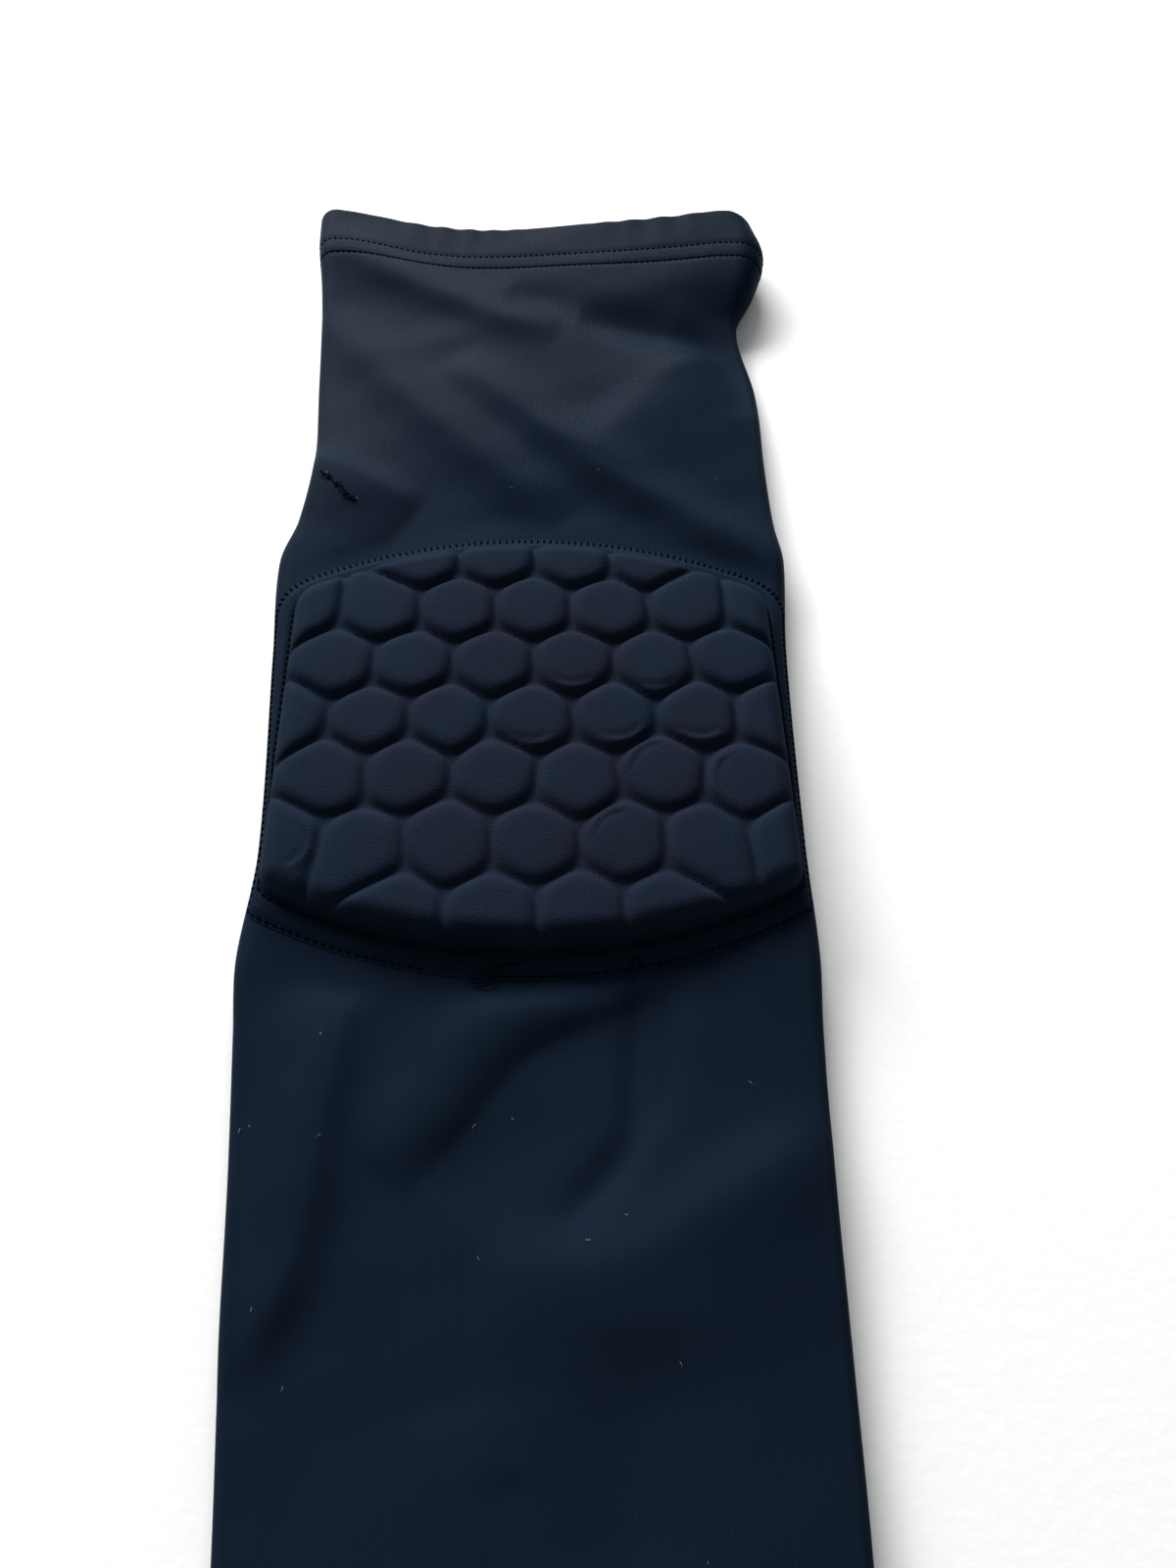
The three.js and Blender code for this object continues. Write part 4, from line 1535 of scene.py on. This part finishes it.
@dataclass(frozen=True)
class StitchRows:
    """Rows of thread stitches, laid along seams by Geometry Nodes."""

    sink: float = 0.25  # how far a stitch's ends go into the cloth
    wander: float = 7.0  # degrees
    sides: int = 6
    steps: int = 5

    def tree(self) -> Tree:
        """The tree that lays one arched stitch after another along a path."""
        nodes = Nodes(bpy.data.node_groups.new("stitch_row", "GeometryNodeTree"))
        nodes.sockets("INPUT", Geometry="Geometry", Pitch="Float", Length="Float", Rise="Float", Sink="Float")
        nodes.sockets("INPUT", Thickness="Float", Turn="Float", Wander="Float")
        nodes.sockets("INPUT", Seed="Int", Material="Material")
        nodes.sockets("OUTPUT", Geometry="Geometry")
        given = nodes.add("NodeGroupInput").outputs
        path = nodes.add("GeometryNodeMeshToCurve", {0: given["Geometry"]}).outputs[0]
        paced = {"Curve": path, "Length": given["Pitch"]}
        even = nodes.add("GeometryNodeResampleCurve", paced, mode="LENGTH").outputs[0]
        half, back = (nodes.math("MULTIPLY", given["Length"], share) for share in (0.5, -0.5))
        under, least = (nodes.math("MULTIPLY", given[name], -1.0) for name in ("Sink", "Wander"))
        over = nodes.math("ADD", nodes.math("MULTIPLY", given["Rise"], 2.0), given["Sink"])
        ends = {"Start": (back, 0.0, under), "Middle": (0.0, 0.0, over), "End": (half, 0.0, under)}
        stitch = nodes.thread(ends, self.steps, self.sides, given["Thickness"])
        lie = nodes.add("GeometryNodeInputNamedAttribute", {"Name": LIE}, data_type="FLOAT_VECTOR").outputs[0]
        axes = {"Primary Axis": lie, "Secondary Axis": nodes.add("GeometryNodeInputTangent").outputs[0]}
        laid = nodes.add("FunctionNodeAxesToRotation", axes, primary_axis="Z", secondary_axis="X").outputs[0]
        angle = nodes.math("ADD", given["Turn"], nodes.random(least, given["Wander"], given["Seed"]))
        nodes.strewn({"Points": even, "Instance": stitch}, laid, angle, given["Material"])
        return nodes.tree

    def row(self, seam: Seam, tree: Tree, material: Material) -> Mesh:
        """The stitches of one seam as a plain mesh.

        Args:
            seam: The seam.
            tree: The tree that lays stitches.
            material: The thread's finish.

        Returns:
            The mesh, in the frame.
        """
        count = len(seam.points)
        edges = np.stack([np.arange(count), np.roll(np.arange(count), -1)], -1)
        mesh = plan_mesh("seam_path", seam.points, [], edges[: count if seam.closed else -1].tolist())
        lie = mesh.attributes.new(LIE, "FLOAT_VECTOR", "POINT")
        lie.data.foreach_set("vector", seam.lie.astype(np.float32).ravel())
        pitch, length, rise, thickness, turn = seam.stitch.value
        values = {
            "Pitch": pitch * MM,
            "Length": length * MM,
            "Rise": rise * MM,
            "Sink": self.sink * MM,
            "Thickness": thickness * MM,
            "Turn": math.radians(turn),
            "Wander": math.radians(self.wander),
            "Seed": SEED,
            "Material": material,
        }
        return evaluated("seam_path", mesh, tree, values)

    def build(self, name: str, seams: list[Seam], tree: Tree, material: Material) -> Piece:
        """One piece of all the stitches of some seams.

        Args:
            name: The piece's name.
            seams: The seams.
            tree: The tree that lays stitches.
            material: The thread's finish.

        Returns:
            The piece's object.
        """
        return joined(name, [self.row(seam, tree, material) for seam in seams])

    def dress(self, piece: Piece, material: Material) -> None:
        """Gives a piece of stitches its finish and place."""
        settle(piece, material, Slot.KNIT)


@dataclass(frozen=True)
class LooseThreads:
    """Worn places: the snag, the ends where the pad's outer row has come undone, and fibres caught there."""

    radius: float = 0.17
    snag: tuple[Place, Place] = ((-56.8, 83.6), (-48.0, 73.4))
    snag_shares: tuple[float, ...] = (0.0, 0.07, 0.16, 0.5, 0.62, 0.72, 0.81, 0.9, 0.96)  # its loops' places
    snag_stray: float = 0.25
    loop_sizes: Place = (0.605, 1.265)
    loop_turns: Place = (3.2, 5.4)  # radians
    loop_flatness: float = 0.6
    loop_bows: Place = (0.1, 0.6)  # how far a loop rises between its ends
    loop_steps: int = 7
    yarn_stray: float = 0.3  # of the yarn through the loops
    yarn_bow: float = 0.1
    ends: tuple[tuple[Place, ...], ...] = (
        ((-13.5, -62.4), (-11.2, -61.9), (-8.0, -60.4), (-4.6, -58.9), (-2.2, -58.3)),
        ((-14.0, -61.4), (-11.0, -60.9), (-7.6, -59.2), (-5.2, -58.6)),
        ((-13.0, -62.9), (-10.4, -63.0), (-8.6, -61.9), (-9.6, -60.8)),
        ((19.2, -61.6), (20.4, -59.6), (21.2, -57.6), (22.0, -58.6), (22.4, -60.2)),
    )
    end_bow: float = 0.5
    end_lift: float = PadMargin().thick
    caught: tuple[Place, ...] = (
        (-41.2, -94.1), (-57.3, -91.9), (-55.3, -91.2), (43.2, -84.6),
        (-50.6, -123.9), (-42.9, -73.7), (16.9, -109.3), (9.6, -113.6),
        (-4.4, -90.7), (-47.0, 73.9), (-50.5, 76.0), (-55.9, 83.4),
    )
    caught_lengths: Place = (0.54, 1.08)
    caught_bend: float = 0.3  # as a share of the length
    caught_bow: float = 0.15
    caught_radius: float = 0.045
    curve_steps: int = 6  # for each given place
    curve_rounds: int = 3  # of smoothing

    def curve(self, tube: LyingTube, line: Array, bow: float) -> Array:
        """A thread's centre line that lies on the cloth through plan places.

        Args:
            tube: The tube under it.
            line: The places.
            bow: How far it lifts off in the middle.

        Returns:
            Points of a smooth line.
        """
        known = np.linspace(0.0, 1.0, len(line))
        share = np.linspace(0.0, 1.0, self.curve_steps * len(line))
        x, y = (np.interp(share, known, line[:, k]) for k in (0, 1))
        for _ in range(self.curve_rounds):
            for part in (x, y):
                part[1:-1] = (part[:-2] + 2 * part[1:-1] + part[2:]) / 4
        return np.column_stack([x, y, tube.top(x, y) + self.radius + bow * np.sin(np.pi * share)])

    def snagged(self, tube: LyingTube, draw: np.random.Generator) -> list[Array]:
        """The lines of the snag's loops and of the yarn through them.

        Args:
            tube: The tube under them.
            draw: Where random numbers come from.

        Returns:
            The centre lines.
        """
        first, last = (np.array(place) for place in self.snag)
        lines = []
        for share in self.snag_shares:
            middle = first + (last - first) * share + draw.normal(0.0, self.snag_stray, 2)
            start = draw.uniform(0.0, math.tau)
            turn = start + np.linspace(0.0, draw.uniform(*self.loop_turns), self.loop_steps)
            size = draw.uniform(*self.loop_sizes)
            loop = middle + size * np.column_stack([np.cos(turn), self.loop_flatness * np.sin(turn)])
            lines.append(self.curve(tube, loop, draw.uniform(*self.loop_bows)))
        yarn = np.linspace(first, last, self.loop_steps)
        yarn = yarn + draw.normal(0.0, self.yarn_stray, yarn.shape)
        return [*lines, self.curve(tube, yarn, self.yarn_bow)]

    def fibres(self, tube: LyingTube, draw: np.random.Generator) -> list[Array]:
        """The lines of the caught fibres.

        Args:
            tube: The tube under them.
            draw: Where random numbers come from.

        Returns:
            The centre lines.
        """
        lines = []
        for place in self.caught:
            turn = draw.uniform(0.0, math.tau)
            length = draw.uniform(*self.caught_lengths)
            side = draw.uniform(-self.caught_bend, self.caught_bend)
            bent = length * np.array([(-0.5, 0.0), (-0.1, side), (0.5, 0.0)])
            spun = bent @ np.array([(math.cos(turn), math.sin(turn)), (-math.sin(turn), math.cos(turn))])
            lines.append(self.curve(tube, np.array(place) + spun, self.caught_bow))
        return lines

    def build(self, tube: LyingTube) -> tuple[Piece, Piece, Piece]:
        """The snag, the loose ends and the caught fibres, as three pieces.

        Args:
            tube: The tube under them.

        Returns:
            The pieces' objects.
        """
        draw = np.random.default_rng(SEED)
        loops = self.snagged(tube, draw)
        raised = (0.0, 0.0, self.end_lift)
        ends = [self.curve(tube, np.array(end), self.end_bow) + raised for end in self.ends]
        return (
            make_threads("snag_loops", loops, self.radius),
            make_threads("loose_ends", ends, self.radius),
            make_threads("caught_fibres", self.fibres(tube, draw), self.caught_radius),
        )

    def dress(self, pieces: tuple[Piece, Piece, Piece], yarns: tuple[Material, Material, Material]) -> None:
        """Gives the pieces their finishes and places."""
        for piece, yarn, slot in zip(pieces, yarns, (Slot.KNIT, Slot.KNIT, None)):
            settle(piece, yarn, slot)


@dataclass(frozen=True)
class Lint:
    """Pale fibres on the cloth, scattered by Geometry Nodes."""

    density: float = 900.0  # to a square metre
    length: float = 1.1
    thickness: float = 0.07
    bend: float = 0.35  # as a share of the length
    rise: float = 0.12  # likewise
    least: float = 0.25  # size of the smallest, as a share of the largest
    sides: int = 4
    steps: int = 4
    bed_step: float = 6.0
    bed_columns: int = 24
    bed_lift: float = 0.05
    side_room: float = 9.0
    hem_room: float = 24.0
    pad_room: float = 66.0

    def tree(self) -> Tree:
        """The tree that scatters bent fibres over a surface."""
        nodes = Nodes(bpy.data.node_groups.new("lint", "GeometryNodeTree"))
        nodes.sockets("INPUT", Geometry="Geometry", Density="Float", Length="Float", Thickness="Float")
        nodes.sockets("INPUT", Seed="Int", Material="Material")
        nodes.sockets("OUTPUT", Geometry="Geometry")
        given = nodes.add("NodeGroupInput").outputs
        bed = {"Mesh": given["Geometry"], "Density": given["Density"], "Seed": given["Seed"]}
        cast = nodes.add("GeometryNodeDistributePointsOnFaces", bed).outputs
        shares = (0.5, -0.5, self.bend, self.rise)
        half, back, bent, over = (nodes.math("MULTIPLY", given["Length"], share) for share in shares)
        ends = {"Start": (back, 0.0, 0.0), "Middle": (0.0, bent, over), "End": (half, 0.0, 0.0)}
        fibre = nodes.thread(ends, self.steps, self.sides, given["Thickness"])
        spin = nodes.random(0.0, math.tau, given["Seed"])
        size = nodes.random(self.least, 1.0, given["Seed"])
        placed = {"Points": cast["Points"], "Instance": fibre, "Scale": size}
        nodes.strewn(placed, cast["Rotation"], spin, given["Material"])
        return nodes.tree

    def bed(self, tube: LyingTube, low: float, high: float) -> Mesh:
        """A stretch of the tube's upper side, for fibres to fall on.

        Args:
            tube: The tube.
            low: Where the stretch begins along the sleeve.
            high: Where it ends.

        Returns:
            The mesh, in the frame.
        """
        y = np.arange(low, high, self.bed_step)
        row = tube.section(y)
        left, right = self.side_room - row.left[:, None], row.right[:, None] - self.side_room
        x = left + (right - left) * np.linspace(0.0, 1.0, self.bed_columns)[None]
        along = np.broadcast_to(y[:, None], x.shape)
        points = np.stack([x, along, tube.plateau(x, along) + self.bed_lift], -1)
        faces, _ = grid_faces(*x.shape, False, False)
        return plan_mesh("lint_bed", points.reshape(-1, 3), faces[:, ::-1].tolist())

    def build(self, tube: LyingTube, material: Material) -> Piece:
        """The fibres on the sleeve's upper side, as one piece.

        Args:
            tube: The tube that they lie on.
            material: Their finish.

        Returns:
            The piece's object.
        """
        values = {
            "Density": self.density,
            "Length": self.length * MM,
            "Thickness": self.thickness * MM,
            "Seed": SEED,
            "Material": material,
        }
        tree = self.tree()
        stretches = (
            (FOREARM_EDGE + self.hem_room, -self.pad_room),
            (self.pad_room, UPPER_ARM_EDGE - self.hem_room),
        )
        beds = [self.bed(tube, low, high) for low, high in stretches]
        return joined("lint", [evaluated("lint_bed", bed, tree, values) for bed in beds])

    def dress(self, piece: Piece, material: Material) -> None:
        """Gives the fibres their finish and place."""
        settle(piece, material, None)


# Studio


@dataclass(frozen=True)
class PhotoCamera:
    """The photograph's view: angles in degrees, and its place over the pad's middle in millimetres."""

    focal_px: float = 1150.0
    photo_height: float = 1600.0
    sensor: float = 36.0  # mm, along the photograph's long side
    yaw: float = 5.10
    fall: float = 58.88
    roll: float = 4.06
    place: Vec = (0.5, -148.6, 231.8)
    nearest: float = 0.01  # metres

    def build(self) -> None:
        """Makes the camera and sets it as the scene's."""
        yaw, fall, roll = (math.radians(angle) for angle in (self.yaw, self.fall, self.roll))
        ahead = Vector((math.sin(yaw) * math.cos(fall), math.cos(yaw) * math.cos(fall), -math.sin(fall)))
        level = Vector((math.cos(yaw), -math.sin(yaw), 0.0))
        upright = level.cross(ahead)
        right = level * math.cos(roll) + upright * math.sin(roll)
        up = upright * math.cos(roll) - level * math.sin(roll)
        data = bpy.data.cameras.new("photo_camera")
        data.sensor_width = self.sensor
        data.lens = self.focal_px * self.sensor / self.photo_height
        data.clip_start = self.nearest
        camera = linked("photo_camera", data)
        turned = Matrix((right, up, -ahead)).transposed()
        camera.matrix_world = Matrix.Translation(Vector(self.place) * MM + pad_middle()) @ turned.to_4x4()
        bpy.context.scene.camera = camera


@dataclass(frozen=True)
class SoftLight:
    """A large soft white lamp that faces the sleeve: its place and size in metres, and its power."""

    name: str
    place: Vec
    size: Place
    power: float

    def build(self) -> None:
        """Makes the lamp."""
        data = bpy.data.lights.new(self.name, "AREA")
        data.shape = "RECTANGLE"
        data.size, data.size_y = self.size
        data.energy = self.power
        lamp = linked(self.name, data)
        lamp.location = self.place
        lamp.rotation_mode = "QUATERNION"
        lamp.rotation_quaternion = (-Vector(self.place)).to_track_quat("-Z", "Y")


@dataclass(frozen=True)
class Studio:
    """A plain pale floor under soft light that comes mostly from beyond the sleeve."""

    floor_size: float = 8.0
    floor_drop: float = 0.00005
    ambient: Colour = (0.93, 0.96, 1.0, 1.0)
    ambient_strength: float = 0.25
    lights: tuple[SoftLight, ...] = (
        SoftLight("window", (-0.72, 1.9, 1.04), (2.2, 0.7), 134.0),
        SoftLight("horizon", (-0.42, 2.1, 0.5), (2.4, 0.5), 31.0),
    )

    def build(self, material: Material) -> None:
        """Makes the floor, the lamps and the room's light.

        Args:
            material: The floor's finish.
        """
        half = self.floor_size / 2
        corners = [(-half, -half), (half, -half), (half, half), (-half, half)]
        mesh = bpy.data.meshes.new("floor")
        mesh.from_pydata([(x, y, -self.floor_drop) for x, y in corners], [], [(0, 1, 2, 3)])
        mesh.materials.append(material)
        linked("floor", mesh)
        for light in self.lights:
            light.build()
        world = bpy.data.worlds.new("room")
        world.use_nodes = True
        room = world.node_tree.nodes["Background"]
        room.inputs["Color"].default_value = self.ambient
        room.inputs["Strength"].default_value = self.ambient_strength
        bpy.context.scene.world = world
        bpy.context.scene.view_settings.view_transform = "Standard"


def main() -> None:
    """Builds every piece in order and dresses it."""
    logging.basicConfig(level=logging.INFO, format="%(message)s")
    PhotoCamera().build()
    knit, mottle = knit_group(), mottle_group()
    cloth, cover = (finish.material(mottle, knit) for finish in (KNIT, PAD_COVER))
    thread, pulled, fibre, ground = (finish.material(mottle) for finish in (THREAD_WITH_PAINTED_SHADE, PULLED, LINT, FLOOR))
    Studio().build(ground)

    tube = LyingTube()
    body = SleeveBody()
    knit_tube = body.build(tube)
    body.dress(knit_tube, cloth)
    with_tube = []
    stitches = StitchRows()
    stitch_tree = stitches.tree()
    hems = (
        Hem("upper_arm_band", "upper_arm_hem", UPPER_ARM_EDGE, 1),
        Hem("forearm_band", "forearm_hem", FOREARM_EDGE, -1),
    )
    for hem in hems:
        band = hem.build(tube)
        hem.dress(band, cloth)
        sewn = stitches.build(f"{hem.name}_stitches", hem.seams(tube), stitch_tree, thread)
        stitches.dress(sewn, thread)
        with_tube += [band, sewn]
    margin = PadMargin()
    rim = margin.build(tube)
    margin.dress(rim, cloth)
    sewn = stitches.build("pad_stitches", margin.seams(tube), stitch_tree, thread)
    stitches.dress(sewn, thread)
    with_tube += [rim, sewn]
    pad = ElbowPad()
    pad.dress(pad.build(), cover)
    loose = LooseThreads()
    snag, ends, caught = loose.build(tube)
    loose.dress((snag, ends, caught), (pulled, thread, fibre))
    with_tube += [snag, ends]
    lint = Lint()
    lint.dress(lint.build(tube, fibre), fibre)


if __name__ == "__main__":
    main()
